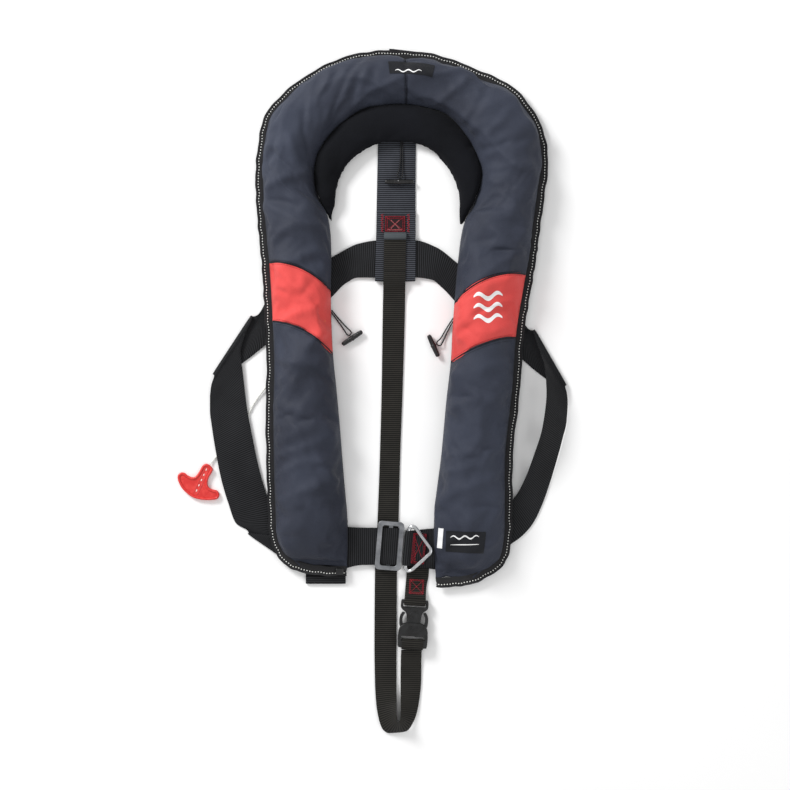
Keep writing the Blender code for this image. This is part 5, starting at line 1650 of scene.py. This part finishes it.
# Folds of webbing round the buckle's two bars: place along the buckle, height
TAB_WRAP = [(22.9, 5.2), (22.6, 7.6), (21.3, 9.2), (19.4, 9.6), (17.6, 9.2), (16.4, 7.8), (16.0, 5.0)]
STRAP_WRAP = [(-22.6, 7.4), (-23.4, 9.6), (-24.8, 11.3), (-27.5, 11.9), (-30.6, 11.7), (-32.9, 10.6),
              (-34.2, 8.2), (-34.6, 5.4)]
GRIP_RIBS = [(6.5, -8.5), (5.5, -10.6), (4.5, -12.7)]      # half length and place of each


def clip_plate(name, outlines, low, high, bevel):
    return plate(name, outlines, low, high, bevel, CLIP_CENTRE, CLIP_TURN)


def wrap_web(name, line, half, body="jacket"):
    rows = [flat(*clip_spot(-half, y), *clip_spot(half, y), z) for y, z in line]
    webbing(name, rows, "strap", (), thick=1.2, cols=7, height=0.2, body=body)


def make_clip_male():
    """The buckle's upper half with its two sprung prongs and the webbing round its bar."""
    black = ("black_plastic", MATS["plastic"])
    slot = [(x, y + 16.0) for x, y in rounded(12.8, 2.2, 1.0, 4)]
    body = clip_plate("male_plate", [smooth_outline(mirrored(MALE), 3), slot], 2.6, 8.2, 0.7)
    ridge = clip_plate("male_ridge", [rounded(4.6, 8.6, 3.5, 5)], 7.6, 8.9, 0.35)
    joined([body, ridge], "clip_male", "jacket", *black, ("side_release_male",))
    for sign, word in ((-1, "left"), (1, "right")):
        outline = smooth_outline([(sign * x, y) for x, y in PRONG], 3)
        prong = clip_plate("clip_prong_" + word, [outline], 3.2, 7.6, 0.6)
        finish_piece(prong, "prong_" + word[0], *black, ("prong_" + word,))
    wrap_web("tab_wrap_web", TAB_WRAP, 12.3)


def make_clip_female():
    """The buckle's lower half: shell, walls, bar and grip ribs, and the webbing round its bar."""
    outline = smooth_outline(mirrored(SHELL), 3)
    window = [(x, y - 22.0) for x, y in rounded(13.2, 2.6, 1.0, 4)]
    parts = [clip_plate("female_top", [outline, window], 8.5, 10.6, 0.8),
             clip_plate("female_low", [outline, window], 0.4, 2.4, 0.6)]
    bar = [(-14, -19.3), (-14, -14.2), (14, -14.2), (14, -19.3)]
    parts.append(clip_plate("female_bar", [bar], 1.8, 9.2, 0.3))
    for s in (-1, 1):
        wall = [(s * 13.3, -31.5), (s * 16.6, -31.2), (s * 17.0, -20), (s * 16.6, -14.2), (s * 13.3, -14.2)]
        parts.append(clip_plate("female_wall", [wall], 1.6, 9.4, 0.3))
    for half, at in GRIP_RIBS:
        rib = [(x, y + at) for x, y in rounded(half, 0.45, 0.4, 3)]
        parts.append(clip_plate("female_grip", [rib], 10.2, 11.1, 0.25))
    joined(parts, "clip_female", "clip_lower", "black_plastic", MATS["plastic"], ("side_release_female",))
    wrap_web("strap_wrap_web", STRAP_WRAP, 12.4, "clip_lower")


def flex_crotch_strap(strap):
    """The crotch strap's place baked into its mesh."""
    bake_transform(strap)


def main():
    make_camera()
    make_floor()
    make_light()
    make_cords()
    panels = make_cover()
    make_back_panel()
    make_bladders()
    make_neck_pad()
    make_zip()
    drop = Drop(*panels)
    make_seams(drop)
    make_labels(drop)
    webs = make_webbing()
    make_stitching(webs)
    make_hardware()
    make_handle()
    make_clip_male()
    make_clip_female()
    flex_crotch_strap(webs["crotch"])
    for name, key in KEPT.items():
        keep_cad(name, MATS[key])


main()
